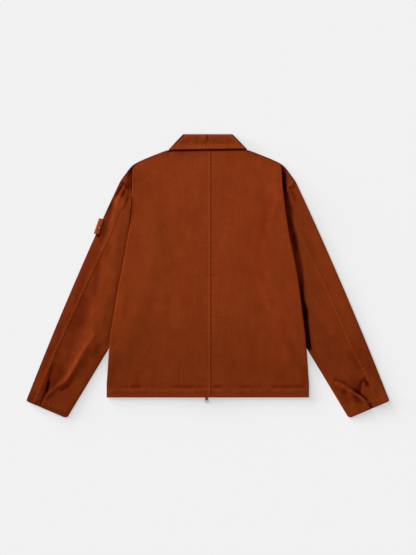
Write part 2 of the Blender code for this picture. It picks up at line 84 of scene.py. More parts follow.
FOLD_SHADE = {                          # y, depth, width of the painted shadow outside a side fold, run-out
    -1: ((300, 0.6, 1.0, 6.0), (246, 0.6, 1.0, 6.0), (230, 0.35, 1.0, 5.0), (214, 0.85, 2.5, 3.5),
         (165, 0.8, 2.5, 3.5), (100, 0.24, 0.5, 5.0), (-60, 0.06, 0.5, 6.0), (-130, 0.0, 0.5, 6.0),
         (-250, 0.0, 0.5, 6.0)),
    1: ((300, 0.5, 2.0, 6.0), (250, 1.0, 6.0, 8.0), (200, 0.75, 10.0, 10.0), (150, 0.77, 11.0, 11.0),
        (100, 0.7, 11.0, 13.0), (30, 0.6, 13.0, 11.0), (-60, 1.0, 6.5, 9.0), (-95, 1.0, 12.0, 8.0),
        (-130, 1.0, 10.0, 7.0), (-170, 1.0, 10.0, 6.0), (-197, 1.0, 11.0, 6.0), (-209, 0.0, 8.0, 8.0),
        (-250, 0.0, 8.0, 8.0)),
}
OUTER_PUFF = 3.0                        # puff of a sleeve where nothing lies on it
EDGE_ROLL = {-1: 1.2, 1: 2.2}           # fuller fold at each sleeve's right-hand edge
BACK_RETURN_DROP = 1.9                  # of the ply that goes back in under a side fold
FLAT_BELOW_Y = -262.0                   # the side folds flatten towards the hem
STEP_FROM_Y = 212.0                     # above it the back only steps down to the sleeve's head
SLIDER_EASE = 34.0
SHOULDER_EDGE = ((104.0, 347.0), (113.0, 345.5), (121.0, 342.9), (149.7, 331.9), (176.3, 320.9),
                 (199.0, 309.9), (212.6, 298.9), (225.0, 282.6), (241.0, 260.0), (320.0, 85.0))
BACK_NECK = ((0.0, 353.0), (74.0, 353.0), (92.0, 350.8))
FRONT_NECK = ((0.0, 266.0), (20.0, 267.5), (50.0, 276.5), (76.0, 296.0), (92.0, 318.0))
SIDE_FOLD = ((306.0, 204.5, 202.0), (258.0, 205.8, 204.0), (214.0, 205.8, 209.4), (170.0, 208.6, 214.9),
             (104.0, 219.6, 226.0), (38.0, 230.6, 239.7), (-28.0, 244.3, 250.7), (-94.0, 255.3, 258.9),
             (-160.0, 266.3, 267.2), (-204.0, 271.0, 271.0), (-270.0, 275.8, 275.8),
             (-300.0, 277.6, 277.6), (-333.0, 277.6, 277.6))
ARM_SEAM = ((0.0, 0.27, 0.33), (0.07, 0.205, 0.325), (0.2, 0.226, 0.31), (0.36, 0.207, 0.295),
            (0.5, 0.2, 0.277), (0.74, 0.192, 0.3), (0.84, 0.195, 0.273), (0.93, 0.3, 0.35),
            (1.0, 0.345, 0.42))
RIDGE_END = ((0.8, 0.0, 0.0), (0.84, 0.002, 0.004), (0.93, 0.094, 0.082), (1.0, 0.125, 0.15))
COLLAR_ROLL = (67.0, 390.0)
COLLAR_TURN = (107.0, 348.0)
COLLAR_SLANT = 57.3                     # length of the slanted turn at each side
COLLAR_FALL_Y = 349.0
COLLAR_FRONT = (4.0, 272.0)
COLLAR_POINT = (66.0, 222.0)
STAND_ROLL = (64.5, 387.8)
STAND_TURN = (99.6, 351.4)
LEAF_Z = (7.45, COLLAR_CLOTH / 2)
STAND_Z = (5.5, COLLAR_CLOTH * 1.5 + GAP)
TAPE_WIDTH = 14.0
TAPE_CLOTH = 0.9
LOWER_PIVOT = (ZIP_X, -338.5, 1.75)
UPPER_PIVOT = (ZIP_X, 259.5, 1.75)
SLIDER_LIFT = 2.45
TAB_SPAN = (0.1745, 0.2435)
TAB_CLOTH = 1.5
TAB_PROUD = (9.0, 5.6)                  # beyond the sleeve's edge, at the tab's upper and lower side
TAB_BACK = (2.7, 6.4)                   # reach over the back, at its upper and lower side
TAB_SHADOW = (5.5, 7.5)                 # reach of its painted shadow beyond that
TAB_FRONT = 24.0
TAB_Y = 130.0
TAB_RISE = 1.4                          # how far its back stands off the sleeve
TAB_SKEW = 0.67                         # slant of its ends against the sleeve's width
TAB_SKEW_REACH = (-10.0, 6.0)

# sewing
HEM_DEPTH = 22.0
HEM_STITCH = HEM_Y + 19.3
CUFF_DEPTH = 20.0
SEAM_WIDTH = 8.0
CENTRE_RIDGE = 5.5
SLEEVE_LENGTH = 640.0
ARM_SEAM_RUN = 652.0
CUFF_RUN = 600.0                        # length against which the distance from the cuff is counted
CUFF_WIDTH = 121.0
CUFF_ROUND = (4.0, 10.0)                # corner radii at the outer and the inner edge
SEAM_LAP = 1.6
VENT_HALF = 1.7
LAP_LIFT = 0.75
CENTRE_STITCHES = (-1.5, -4.7)          # rows beside the centre seam and the arm seams
ARM_STITCHES = (-1.4, -6.8)
COLLAR_INSET = 5.0                      # of its stitching from the lower edge
STITCH_PITCH = 3.0
STITCH_LENGTH = 2.3
STITCH_RADIUS = 0.22
STITCH_LIFT = 0.1
STITCH_SIDES = 6

# points of the grids
BACK_GRID = (210, 150)
FRONT_GRID = (110, 60)
SLEEVE_ROWS = 260
UPPER_COLUMNS = (26, 40)                # above and below the fold
UNDER_COLUMNS = (80, 14)
TURN_COLUMNS = 8
RETURN_COLUMNS = 14
TAPE_GRID = (200, 10)
RING_GRID = (72, 20)
BUTTON_SPOKES = 48

RING_RADIUS = 4.3
RING_WIDE = (0.7, 0.75)                 # at the bridge, and how much more elsewhere
RING_THICK = 0.68
RIM_SHADE = {-1: (0.3, 0.22), 1: (0.2, 0.08)}      # painted shade along the shoulder line: narrow and wide
EDGE_TONE = {-1: 0.2, 1: 0.0}           # painted shade along the sleeves' outer edges
# paler outer edge of the sleeves: scuffed cloth and painted highlight
EDGE_SCUFFED_AND_LIT = {-1: 0.0, 1: 0.45}

SEED = {                                # of the uneven waves and puckers; + side on the sleeves
    "swell": 3, "swell_mid": 5, "swell_fine": 8, "centre": 21, "hem": 22, "centre_wear": 23, "hem_wear": 24,
    "centre_line": 25, "sleeve": 31, "sleeve_fine": 35, "arm_seam": 41, "cuff": 51, "inside": 61,
    "collar": 71, "collar_swell": 72,
}

# Creases: x, y of the start; x, y of the end; half widths to the left and the right of the way from
# start to end; height (+ ridge, - trough); tone (+ painted shade, - painted highlight and scuffed cloth)
SLEEVE_CREASES = (
    (-219, 296, -230, 246, 8, 8, 1.2, 0.16), (-215, 292, -219, 236, 6, 6, -0.4, 0.28),
    (-218, 236, -219, 218, 5, 5, 0, 0.2), (-209, 304, -211, 238, 8, 8, -0.5, 0.5),
    (-240, 262, -268, 210, 4, 4, 0.6, 0.2), (-264, 200, -292, 160, 8, 7, 0, 0.36),
    (-216, 250, -226, 202, 8, 8, 0, 0.28), (-232, 257, -253, 219, 3.4, 4.5, -1.2, 0.88),
    (-253, 219, -264, 198, 4, 4.5, -0.6, 0.12), (-258, 216, -274, 184, 4, 4, -0.8, 0.21),
    (-229, 244, -248, 204, 5, 4, 0.6, 0), (-247, 208, -252, 184, 5, 4, 0.6, -0.1),
    (-250, 186, -263, 142, 6, 5, 0.6, -0.05), (-254, 222, -270, 186, 6, 6, 0, 0.08),
    (-223, 248, -235, 218, 3, 3, -1, 0.5), (-215, 220, -228, 198, 3, 3, -0.5, 0.3),
    (-222, 210, -243, 181, 4, 4, 0.9, -0.1), (-300, -90, -322, -170, 30, 24, 2, 0),
    (-308, -152, -340, -195, 24, 18, 1.6, 0), (-310, -158, -337, -197, 4, 9, 0.4, -0.6),
    (-333, -190, -356, -233, 16, 22, 2.8, 0), (-334, -191, -357, -234, 4, 7, 0.4, -0.65),
    (-354, -229, -376, -268, 11, 12, 2.9, 0), (-355, -231, -376, -269, 3, 6, 0.4, -0.7),
    (-374, -265, -391, -291, 6, 7, 2.3, 0), (-374, -266, -391, -291, 3, 5, 0.3, -0.2),
    (-388, -288, -416, -307, 5, 6, 1.9, 0.1), (-413, -305, -446, -335, 4.5, 6, 1.9, 0.15),
    (-330, -222, -354, -252, 12, 8, -0.4, 0), (-318, -178, -336, -208, 6, 6, 0, 0.12),
    (-324, -204, -346, -244, 7, 7, 0, 0.12), (-326, -230, -348, -256, 5, 5, 0, 0.13),
    (-352, -247, -372, -282, 9, 6, -0.6, 0.08), (-368, -276, -386, -304, 7, 5, -1.4, 0.2),
    (-381, -301, -405, -314, 5, 5, -1.8, 0.45), (-420, -236, -433, -266, 8, 5, -1.2, 0.1),
    (-433, -262, -439, -300, 7, 4, -1.6, 0.17), (-437, -286, -443, -322, 5, 4, -2, 0.5),
    (-444, -318, -459, -349, 4, 4, -1.6, 0.26), (-259, 205, -294, 95, 7, 8, -0.3, 0.38),
    (-294, 110, -350, -20, 20, 14, 0, 0.24), (-340, -10, -388, -150, 26, 18, 0, 0.28),
    (-352, -110, -385, -200, 14, 20, 0, 0.22), (-406, -240, -432, -312, 16, 14, 0, 0.26),
    (-440, -300, -456, -350, 14, 14, 0, 0.36), (-272, -90, -296, -180, 16, 14, 0, -0.35),
    (-258, 20, -268, -60, 8, 8, 0, -0.52), (-300, 40, -318, -50, 10, 10, 0, 0.2),
    (-402, -130, -424, -230, 14, 14, 0, 0.22), (-345, -80, -366, -112, 12, 12, 0, 0.08),
    (-335, -268, -362, -326, 10, 10, 0, -0.2), (-300, 44, -306, -30, 9, 9, 0, 0.12),
    (-376, -192, -392, -240, 10, 12, 0, 0.12), (-408, -205, -420, -252, 10, 10, 0, 0.14),
    (-300, -30, -312, -62, 10, 10, 0, 0.14), (-334, -58, -346, -146, 12, 12, 0, 0.19),
    (-272, 92, -282, 50, 7, 7, 0, 0.13), (-283, -20, -292, -60, 7, 7, 0, 0.12),
    (-400, -262, -426, -306, 7, 7, 0, 0.18), (-445, -292, -452, -330, 6, 6, 0, 0.06),
    (-462, -344, -486, -352, 5, 5, 0, 0.4), (-382, -380, -470, -352, 5, 5, 0, 0.25),
    (-298, -180, -316, -228, 12, 12, 0, 0.36), (-352, -300, -420, -346, 16, 16, 0, 0.04),
    (-430, -196, -452, -262, 7, 7, 0, 0.25), (-446, -262, -454, -326, 7, 7, 0, 0.18),
    (-396, -350, -410, -368, 12, 12, 0, -0.06), (-428, -240, -442, -312, 12, 5, 0, 0.3),
    (-398, -236, -404, -268, 9, 9, 0, 0.1), (-347, -205, -364, -243, 4, 6, 0.2, -0.4),
    (-226, 262, -240, 214, 8, 8, -0.2, 0.3), (-470, -318, -492, -345, 12, 12, 0, 0.3),
    (346, -284, 378, -294, 5, 5, -1.6, 0.3), (374, -292, 410, -319, 4.5, 4.5, -2.6, 0.3),
    (406, -315, 438, -340, 3.6, 3.6, -3.2, 0.69), (434, -337, 453, -366, 3.6, 3.6, -3.4, 0.95),
    (350, -293, 374, -303, 4, 9, 1.6, -0.1), (370, -301, 396, -316, 3, 6, 2.6, -0.5),
    (392, -313, 419, -331, 3, 5, 3, -0.7), (415, -328, 443, -350, 3, 4, 2.8, -0.9),
    (437, -280, 420, -292, 5, 5, -1.8, 0.26), (422, -289, 417, -324, 5, 5, -2, 0.3),
    (372, -316, 390, -326, 8, 8, -1, 0.09), (404, -342, 432, -352, 6, 6, -1, 0.13),
    (396, -352, 418, -362, 7, 7, 0.8, 0), (240, 250, 231, 238, 2.6, 2.6, -1.2, 0.6),
    (227, 246, 223, 240, 3, 3, -1.1, 0.6), (233, 233, 231, 226, 3, 3, -1.1, 0.6),
    (235, 224, 241, 206, 4, 4, -1.1, 0.34), (262, 214, 276, 176, 9, 9, -0.5, 0),
    (300, 30, 318, -30, 14, 14, 0.5, 0), (330, -100, 352, -170, 16, 16, 0.5, 0),
    (292, -60, 318, -130, 16, 16, 0, -0.3), (370, -30, 410, -130, 20, 20, 0, -0.25),
    (398, -270, 424, -340, 18, 18, 0, 0.22), (206, 268, 210, 200, 4, 4, 0, 0.5),
    (210, 285, 214, 232, 4, 4, 0, 0.35), (310, 130, 388, -60, 30, 30, 0, -0.15),
    (300, -150, 318, -250, 14, 14, 0, -0.35), (470, -300, 490, -345, 10, 10, 0, -0.5),
    (366, -300, 384, -350, 10, 10, 0, 0.28), (404, -294, 412, -345, 9, 9, 0, 0.22),
    (278, -180, 288, -204, 6, 6, 0, 0.14), (384, -205, 392, -232, 9, 9, 0, 0.16),
    (440, -226, 448, -270, 9, 9, 0, 0.2), (408, -178, 418, -214, 10, 10, 0, 0.12),
    (236, 234, 246, 188, 8, 8, 0, 0.15), (344, -292, 356, -316, 7, 7, 0, 0.18),
    (392, -306, 400, -340, 7, 7, 0, 0.16), (430, -286, 436, -304, 5, 5, 0, 0.3),
    (452, -280, 458, -306, 6, 6, 0, -0.25), (438, -350, 444, -364, 5, 5, 0, -0.3),
    (434, -286, 440, -300, 5, 5, 0, 0.35), (300, 40, 312, -60, 14, 14, 0, -0.18),
    (338, -50, 352, -150, 18, 18, 0, -0.18), (262, 205, 285, 150, 8, 8, 0, -0.16),
    (404, -200, 420, -260, 16, 16, 0, 0.24), (330, -128, 342, -162, 10, 10, 0, -0.28),
    (402, -310, 410, -336, 7, 7, 0, 0.2), (434, -284, 446, -306, 7, 7, 0, 0.3),
    (480, -328, 490, -350, 8, 8, 0, -0.28), (211, 290, 214, 244, 5, 5, 0, 0.45),
    (208, 300, 213, 262, 4, 4, 0, 0.5), (230, 196, 236, 166, 6, 6, 0, 0.25),
    (238, 120, 246, 70, 6, 6, 0, 0.25), (400, -322, 418, -350, 8, 8, 0, 0.14),
)
# Back creases: the same columns, the tone again painted shade and highlight with scuffed cloth
BACK_CREASES = (
    (-190, 40, -205, -60, 26, 26, 0.5, 0), (-120, -60, -132, -190, 34, 34, -0.4, 0),
    (-70, 180, -76, 40, 30, 30, -0.3, 0), (60, 150, 70, -20, 30, 30, 0.3, 0),
    (150, 60, 172, -80, 30, 30, 0.4, 0), (110, -120, 118, -250, 30, 30, -0.4, 0),
    (-160, -200, -176, -290, 24, 24, 0.4, 0), (190, -180, 200, -280, 24, 24, 0.4, 0),
    (-158, 220, -151, 120, 20, 24, 0.3, -0.35), (-194, 270, -196, 200, 9, 9, 0, -0.2),
    (-151, 120, -158, -20, 24, 24, 0.4, -0.35), (-157, -10, -190, -110, 26, 26, 0.8, -0.55),
    (-190, -100, -236, -215, 26, 26, 0.8, -0.5), (-240, -40, -256, -160, 12, 12, 0, -0.3),
    (162, 240, 130, 130, 18, 18, -0.3, 0.2), (128, 150, 124, -10, 20, 20, -0.3, 0.18),
    (126, 0, 140, -100, 22, 22, 0, 0.08), (190, -90, 206, -190, 20, 20, 0, 0.12),
    (228, -170, 240, -225, 18, 18, 0, 0.14), (178, 236, 138, 70, 13, 13, 0, 0.14),
    (197, 262, 192, 190, 13, 13, 0, 0.1), (181, 264, 173, 130, 9, 9, 0, 0.13),
    (190, 206, 186, 150, 8, 8, 0, 0.1), (165, 130, 160, 60, 11, 11, 0, 0.12),
    (-84, -10, -88, -150, 17, 17, 0, -0.2), (-228, 40, -246, -90, 11, 11, 0, -0.22),
    (-226, -188, -236, -250, 12, 12, 0, -0.18), (-264, -210, -267, -248, 7, 7, 0, -0.2),
    (267, -206, 270, -250, 6, 6, 0, -0.3), (-136, -42, -142, -98, 18, 18, 0, -0.16),
    (46, -150, 56, -290, 30, 30, 0, 0.07), (150, -248, 214, -290, 20, 20, 0, 0.08),
    (-192, -258, -200, -284, 9, 9, 0, 0.14), (-84, 338, -26, 322, 14, 14, 0, 0.1),
    (136, 84, 148, -10, 13, 13, 0, 0.14), (142, 14, 186, -80, 14, 14, 0, 0.12),
    (206, -110, 228, -206, 13, 13, 0, 0.12), (-140, -70, -150, -122, 20, 20, 0, -0.26),
    (-192, -284, -200, -299, 9, 9, 0, 0.2), (196, 292, 197, 222, 12, 12, 0, 0.2),
    (160, 215, 146, 90, 12, 12, -0.2, 0.18), (-126, 60, -130, -60, 18, 18, 0.3, -0.35),
    (264, -205, 268, -245, 8, 8, 0, -0.4), (-262, -245, -266, -300, 10, 10, 0, 0.18),
    (262, -250, 266, -300, 10, 10, 0, 0.18), (-40, -272, -5, -290, 10, 10, 0, 0.14),
    (122, -150, 126, -280, 14, 14, 0, 0.12), (226, -190, 238, -240, 10, 10, 0, 0.12),
    (172, -60, 186, -90, 12, 12, 0, 0.1), (-190, -140, -200, -190, 10, 10, 0, -0.14),
)
HEM_HOLLOWS = (                         # x, half width, depth: where the cloth sinks above the hem's band, with painted shade in it
    (-234, 4, 0.4), (-221, 3, 0.8), (-203, 8, 1.0), (-189, 6, 0.9), (-147, 5, 0.4), (-80, 14, 0.8),
    (-50, 16, 0.9), (-20, 14, 0.5), (28, 14, 0.85), (59, 5, 0.4), (98, 8, 0.7), (114, 9, 0.6),
    (138, 8, 0.4), (185, 8, 0.6), (215, 18, 0.8), (250, 20, 0.8),
)
HEM_LIGHTS = (                          # x, half width, strength of the band's paler upper edge: painted highlight and scuffed cloth
    (-264, 9, 0.6), (-234, 4, 0.6), (-210, 13, 0.75), (-177, 4, 0.5), (-162, 5, 0.6), (-144, 8, 0.5),
    (-120, 12, 0.9), (-90, 16, 0.65), (-50, 22, 0.65), (28, 11, 0.85), (76, 14, 0.7), (109, 6, 0.75),
    (143, 11, 0.65), (185, 9, 0.75), (229, 14, 0.7), (262, 8, 0.4),
)
HEM_POCKETS = (                         # x, half width, depth: gathers within the band, with painted shade in them
    (-254, 8, 0.5), (-223, 14, 0.4), (-172, 5, 0.6), (-121, 12, 0.4), (-29, 7, 0.6), (15.5, 3, 1.0),
    (93, 4, 0.8), (150, 14, 0.4),
)
COLLAR_TILT = 0.014                     # rise of the collar's lower edge from left to right
# Collar creases: the same columns; their tone is painted shade and painted highlight
COLLAR_CREASES = (
    (0, 388, 0, 374, 2.2, 2.2, -1, 0.43), (-9, 381, -10, 366, 3, 3, 0.6, 0),
    (-11, 371, -12, 364, 4, 4, -0.4, 0.17), (12, 386, 13, 366, 3.4, 3.4, 0.5, 0),
    (-34, 384, -40, 360, 9, 9, 0.5, 0), (31, 368, 45, 364, 4, 4, -0.4, 0.17),
    (38, 384, 44, 362, 9, 9, 0.5, 0),
)


# ---- small tools ----

def smooth(share):
    """Ease from 0 to 1: share squared times three minus twice the share."""
    share = np.clip(share, 0.0, 1.0)
    return share * share * (3.0 - 2.0 * share)


def bell(distance, width):
    """1 at no distance, falling as a Gaussian with the half width."""
    return np.exp(-(distance / width) ** 2)


def around_spot(distance, half, ease):
    """1 within half a width of a spot, easing to 0 over a further stretch."""
    return smooth(1 - (np.abs(distance) - half) / ease)


def curve(table, value, column=1):
    """Smooth reading of a table: cubic between rows; an inner row's slope is the harmonic mean of its
    two sides, or level at a peak."""
    rows = np.array(sorted(table), float)
    at, height = rows[:, 0], rows[:, column]
    steps = np.diff(height) / np.diff(at)
    left, right = steps[:-1], steps[1:]
    inner = np.where(left * right > 0, 2 * left * right / np.where(left + right == 0, 1, left + right), 0.0)
    slope = np.concatenate([steps[:1], inner, steps[-1:]])
    value = np.clip(np.asarray(value, float), at[0], at[-1])
    cell = np.clip(np.searchsorted(at, value) - 1, 0, len(at) - 2)
    width = at[cell + 1] - at[cell]
    t = (value - at[cell]) / width
    return ((1 + 2 * t) * (1 - t) ** 2 * height[cell] + t * (1 - t) ** 2 * width * slope[cell]
            + t * t * (3 - 2 * t) * height[cell + 1] + t * t * (t - 1) * width * slope[cell + 1])


def run_along(points):
    """Length of a path from its first point to each of its points."""
    return np.concatenate([[0], np.cumsum(np.linalg.norm(np.diff(points, axis=0), axis=1))])


def read_along(at, length, points):
    """Points of a path at lengths along it: straight between its points."""
    return np.stack([np.interp(at, length, points[:, k]) for k in range(points.shape[1])], -1)


def after_first(count):
    """Even shares from just after 0 to 1, as a row."""
    return np.linspace(0, 1, count + 1)[None, 1:]


def ripple(x, y, seed, size):
    """Uneven swelling of the cloth: a sum of crossed sines of unlike lengths, about -1 to 1."""
    draw = np.random.default_rng(seed)
    total = np.zeros(np.broadcast(x, y).shape)
    for _ in range(7):
        angle = draw.uniform(0, math.pi)
        length = size * draw.uniform(0.6, 1.9)
        phase = draw.uniform(0, 2 * math.pi, 2)
        along = x * math.cos(angle) + y * math.sin(angle)
        cross = -x * math.sin(angle) + y * math.cos(angle)
        total += np.sin(2 * math.pi * along / length + phase[0]
                        + 1.3 * np.sin(2 * math.pi * cross / (2.3 * length) + phase[1]))
    return total / 4.0


def pucker(along, seed):
    """Uneven gathers along a seam: products of sines whose lengths don't match, about -1 to 1."""
    draw = np.random.default_rng(seed)
    phase = draw.uniform(0, 2 * math.pi, 3)
    return (np.sin(2 * math.pi * along / 11.3 + phase[0] + 1.4 * np.sin(along / 17.0 + phase[1]))
            * (0.65 + 0.35 * np.sin(2 * math.pi * along / 47.0 + phase[2])))


def creases(table, x, y):
    """Soft ridges and troughs: each a Gaussian across a straight line, with its own width on either side,
    fading at its ends. Gives the height and the tone."""
    total = np.zeros((2, *np.broadcast(x, y).shape))
    for x0, y0, x1, y1, left, right, height, tone in table:
        length = math.hypot(x1 - x0, y1 - y0)
        ux, uy = (x1 - x0) / length, (y1 - y0) / length
        along = (x - x0) * ux + (y - y0) * uy
        across = (y - y0) * ux - (x - x0) * uy
        ends = smooth(along / (0.35 * length) + 0.4) * smooth((length - along) / (0.35 * length) + 0.4)
        form = ends * bell(across, np.where(across > 0, left, right))
        total[0] += height * form
        total[1] += tone * form
    return total


# ---- plan ----

def fold_out(side, y):
    """Where the body's side folds under."""
    return curve(SIDE_FOLD, y, COLUMN[side])


def armhole(share):
    """Quadratic curve from the shoulder's end (0) to the underarm (1): out, y."""
    share = np.asarray(share, float)[..., None]
    start, pull, end = (np.array(point) for point in (SHOULDER, ARMHOLE_PULL, UNDERARM))
    return (1 - share) ** 2 * start + 2 * share * (1 - share) * pull + share ** 2 * end


def panel_edge_out(side, y):
    """Where a body panel ends: armhole seam above the underarm, side seam below it."""
    line = armhole(np.linspace(0, 1, 81))[::-1]
    arm = np.interp(y, line[:, 1], line[:, 0])
    slope = (CROTCH[0] - UNDERARM[0]) / (UNDERARM[1] - CROTCH[1])
    inner = UNDERARM[0] + slope * (UNDERARM[1] - y)
    base = np.where(y > UNDERARM[1], arm, inner) - 8.0 * smooth((110.0 - y) / 60.0)
    return np.where(y > 150.0, base, np.minimum(base, fold_out(side, y) - 5.0))


def top_y(out, face):
    """Upper edge of a back (face 1) or a front (face -1): its neck, then the shoulder line."""
    neck = BACK_NECK if face > 0 else FRONT_NECK
    return curve(neck + SHOULDER_EDGE, out)


def sleeve_outer(share):
    """Outer edge from shoulder (0) to cuff (1): a straight line, bulged by a parabola."""
    start, end = np.array(SHOULDER), np.array(CUFF_OUTER)
    along = (end - start) / np.linalg.norm(end - start)
    normal = np.array((-along[1], along[0]))
    share = np.asarray(share, float)[..., None]
    return start + (end - start) * share + normal * SLEEVE_BULGE * 4 * share * (1 - share)


def sleeve_inner(share):
    """Inner edge from underarm (0) to cuff (1): two straight lines that meet at the crotch."""
    under, crotch, cuff = (np.array(point) for point in (UNDERARM, CROTCH, CUFF_INNER))
    first = np.linalg.norm(crotch - under)
    knee = first / (first + np.linalg.norm(cuff - crotch))
    share = np.asarray(share, float)[..., None]
    return np.where(share < knee, under + (crotch - under) * (share / knee),
                    crotch + (cuff - crotch) * ((share - knee) / (1 - knee)))


def sleeve_reach(share):
    """Width of the flattened sleeve, edge to edge."""
    return np.linalg.norm(sleeve_inner(share) - sleeve_outer(share), axis=-1)


def sleeve_plan(share, width):
    """Point of the sleeve at shares of its length and of its width from the outer edge.

    The cuff's corners are rounded: the length is cut by a circle's sagitta within a radius of each edge.
    """
    share, width = np.broadcast_arrays(np.asarray(share, float), np.asarray(width, float))
    for radius, inset in ((CUFF_ROUND[0], width), (CUFF_ROUND[1], 1 - width)):
        short = np.clip(1 - inset * CUFF_WIDTH / radius, 0, 1)
        share = share * (1 - radius / SLEEVE_LENGTH * (1 - np.sqrt(1 - short ** 2 * 0.98)))
    across = width[..., None]
    chord = (1 - across) * sleeve_outer(share) + across * sleeve_inner(share)
    head = (1 - across) * np.array(SHOULDER) + across * np.array(UNDERARM)
    return chord + (1 - share[..., None]) ** 2 * (armhole(width) - head)


# ---- levels ----

def near_slider(side_x, y):
    """1 over either slider, easing to 0 round it."""
    low = around_spot(y - LOWER_PIVOT[1] - 2.0, 26.0, SLIDER_EASE)
    high = around_spot(y - UPPER_PIVOT[1] + 6.0, 22.0, SLIDER_EASE)
    return around_spot(side_x - ZIP_X, 24.0, SLIDER_EASE) * np.maximum(low, high)


def under_leaf(out, y):
    """1 where the collar leaf's front lies under the front: within both of its edges, eased."""
    point, turn, front = (np.array(spot) for spot in (COLLAR_POINT, COLLAR_TURN, COLLAR_FRONT))

    def beyond(start, end):
        along = (end - start) / np.linalg.norm(end - start)
        return (y - start[1]) * along[0] - (out - start[0]) * along[1]

    return smooth((beyond(point, turn) + 34.0) / 14.0) * smooth((34.0 - beyond(point, front)) / 14.0)


def front_z(side, out, y):
    """Height of a front: flat on the floor, lifted by the greatest of the zip, a slider and the collar."""
    side_x = side * out
    zip_lift = 1.2 * around_spot(side_x - ZIP_X, 7.0, 16.0)
    lift = np.maximum(zip_lift, SLIDER_LIFT * near_slider(side_x, y))
    return FRONT_Z + np.maximum(lift, (COLLAR_CLOTH + GAP) * under_leaf(out, y))


def below_shoulder(out, y):
    """0 at the shoulder line, easing to 1 below it."""
    return smooth((top_y(out, 1) - y) / 45.0)


def sleeve_low_z(side, out, y):
    """Height of a sleeve's lower ply: on the front's return beside the body, else on the floor or tab."""
    inside = 1 - smooth((out - fold_out(side, y) - 25.0) / 45.0)
    tab = (TAB_CLOTH + GAP) * (side < 0) * around_spot(y - TAB_Y, 56.0, 36.0)
    rise = smooth((y - FLAT_BELOW_Y) / 50.0)
    return (FRONT_Z + (SLEEVE_Z - FRONT_Z) * inside * below_shoulder(out, y) * rise
            + tab * smooth((out - 225.0) / 20.0) * (1 - inside))


def back_z(side, out, y):
    """Height of a back: rises over the plies at its side, over the neck and over the sliders."""
    rise = smooth((out - panel_edge_out(side, y) + 75.0) / 70.0) * smooth((y - FLAT_BELOW_Y) / 60.0)
    neck = 0.9 * smooth((y - 300.0) / 45.0) * smooth((125.0 - out) / 40.0)
    slider = 2.4 * bell(side * out - ZIP_X, 80.0) \
        * np.maximum(bell(y - LOWER_PIVOT[1], 55.0), bell(y - UPPER_PIVOT[1], 85.0))
    return BACK_Z + (BACK_SIDE_Z - BACK_Z) * rise * below_shoulder(out, y) + np.maximum(neck, slider)


def spots(table, x):
    """Strength at x of a row of uneven spots: Gaussians added up, at most 1."""
    at, width, strength = np.array(table, float).T
    return np.clip((strength * bell(np.asarray(x)[..., None] - at, width)).sum(-1), 0.0, 1.0)


def back_relief(side, out, y):
    """Swelling, broad creases, the hem's double band, the centre seam's ridge and their puckers; the
    creases' tone is painted shade and highlight.
    """
    x = side * out
    quiet = smooth((y - HEM_Y) / 40.0) * smooth((fold_out(side, y) - out) / 30.0)
    wave = (0.2 * ripple(x, y, SEED["swell"], 150.0) + 0.1 * ripple(x, y, SEED["swell_mid"], 46.0)
            + 0.05 * ripple(x, y, SEED["swell_fine"], 17.0))
    seam = np.abs(x - CENTRE_SEAM_X)
    ridge_side = smooth((CENTRE_SEAM_X + 0.8 - x) / 1.2) * smooth((x - CENTRE_SEAM_X + CENTRE_RIDGE) / 2.0)
    ridge = 0.4 * ridge_side + 0.28 * pucker(y, SEED["centre"]) * bell(seam - 2.0, 7.0)
    hem = 0.5 * smooth((HEM_Y + HEM_DEPTH + 1.0 - y) / 2.0)
    hem_pucker = (0.25 * pucker(x * 1.15, SEED["hem"]) * bell(y - HEM_STITCH, 4.0)
                  - 0.9 * spots(HEM_HOLLOWS, x) * bell(y - HEM_Y - HEM_DEPTH - 6.0, 5.0)
                  - 0.5 * spots(HEM_POCKETS, x) * bell(y - HEM_Y - 12.0, 3.2))
    hem_edge = -0.25 * bell(y - HEM_Y - 7.0, 1.6)
    height, tone = creases(BACK_CREASES, x, y)
    return (wave + height) * quiet + ridge + hem + hem_pucker + hem_edge, tone


def side_swell(side, out, y):
    """Extra height of the back's side where it lies over the sleeve."""
    rise = smooth((out - panel_edge_out(side, y) + 62.0) / 60.0) * smooth((y - FLAT_BELOW_Y) / 60.0)
    return SIDE_SWELL[side] * rise * below_shoulder(out, y)


def sleeve_relief(side, x, y):
    """Height and tone of a sleeve's creases, which are the rows on its side, and its uneven swelling; the
    tone is painted shade and highlight.
    """
    relief = creases([row for row in SLEEVE_CREASES if row[0] * side > 0], x, y)
    relief[0] += 0.3 * ripple(x, y, SEED["sleeve"] + side, 90.0) \
        + 0.12 * ripple(x, y, SEED["sleeve_fine"] + side, 30.0)
    return relief


def fold_shade(side, past, y):
    """Painted shadow that a side fold casts on the cloth just outside it: level, then eased out."""
    depth, width, run = (curve(FOLD_SHADE[side], y, column) for column in (1, 2, 3))
    return depth * smooth((width + run - past) / run)


# ---- meshes ----

def join_grid(name, points, faces, uv=None, tone=None):
    """Mesh object from arrays of points in millimetres and of quads, with a cloth UV and the tone split
    into a paler and a darker attribute: on cloth, painted highlight with scuffed cloth, and painted shade."""
    mesh = bpy.data.meshes.new(name)
    mesh.vertices.add(len(points))
    mesh.vertices.foreach_set("co", np.ascontiguousarray(points * MM, np.float32).ravel())
    mesh.loops.add(faces.size)
    mesh.loops.foreach_set("vertex_index", faces.astype(np.int32).ravel())
    mesh.polygons.add(len(faces))
    mesh.polygons.foreach_set("loop_start", np.arange(0, faces.size, faces.shape[1], dtype=np.int32))
    mesh.update(calc_edges=True)
    mesh.validate()
    if uv is not None:
        layer = mesh.uv_layers.new(name="cloth")
        layer.data.foreach_set("uv", np.ascontiguousarray(uv[faces.ravel()] * MM, np.float32).ravel())
    if tone is not None:
        for attribute, value in (("wear", np.clip(-tone, 0, 1)), ("deep", np.clip(tone, 0, 1))):
            layer = mesh.attributes.new(attribute, "FLOAT", "POINT")
            layer.data.foreach_set("value", np.ascontiguousarray(value, np.float32))
    mesh.shade_smooth()
    piece = bpy.data.objects.new(name, mesh)
    bpy.context.collection.objects.link(piece)
    return piece


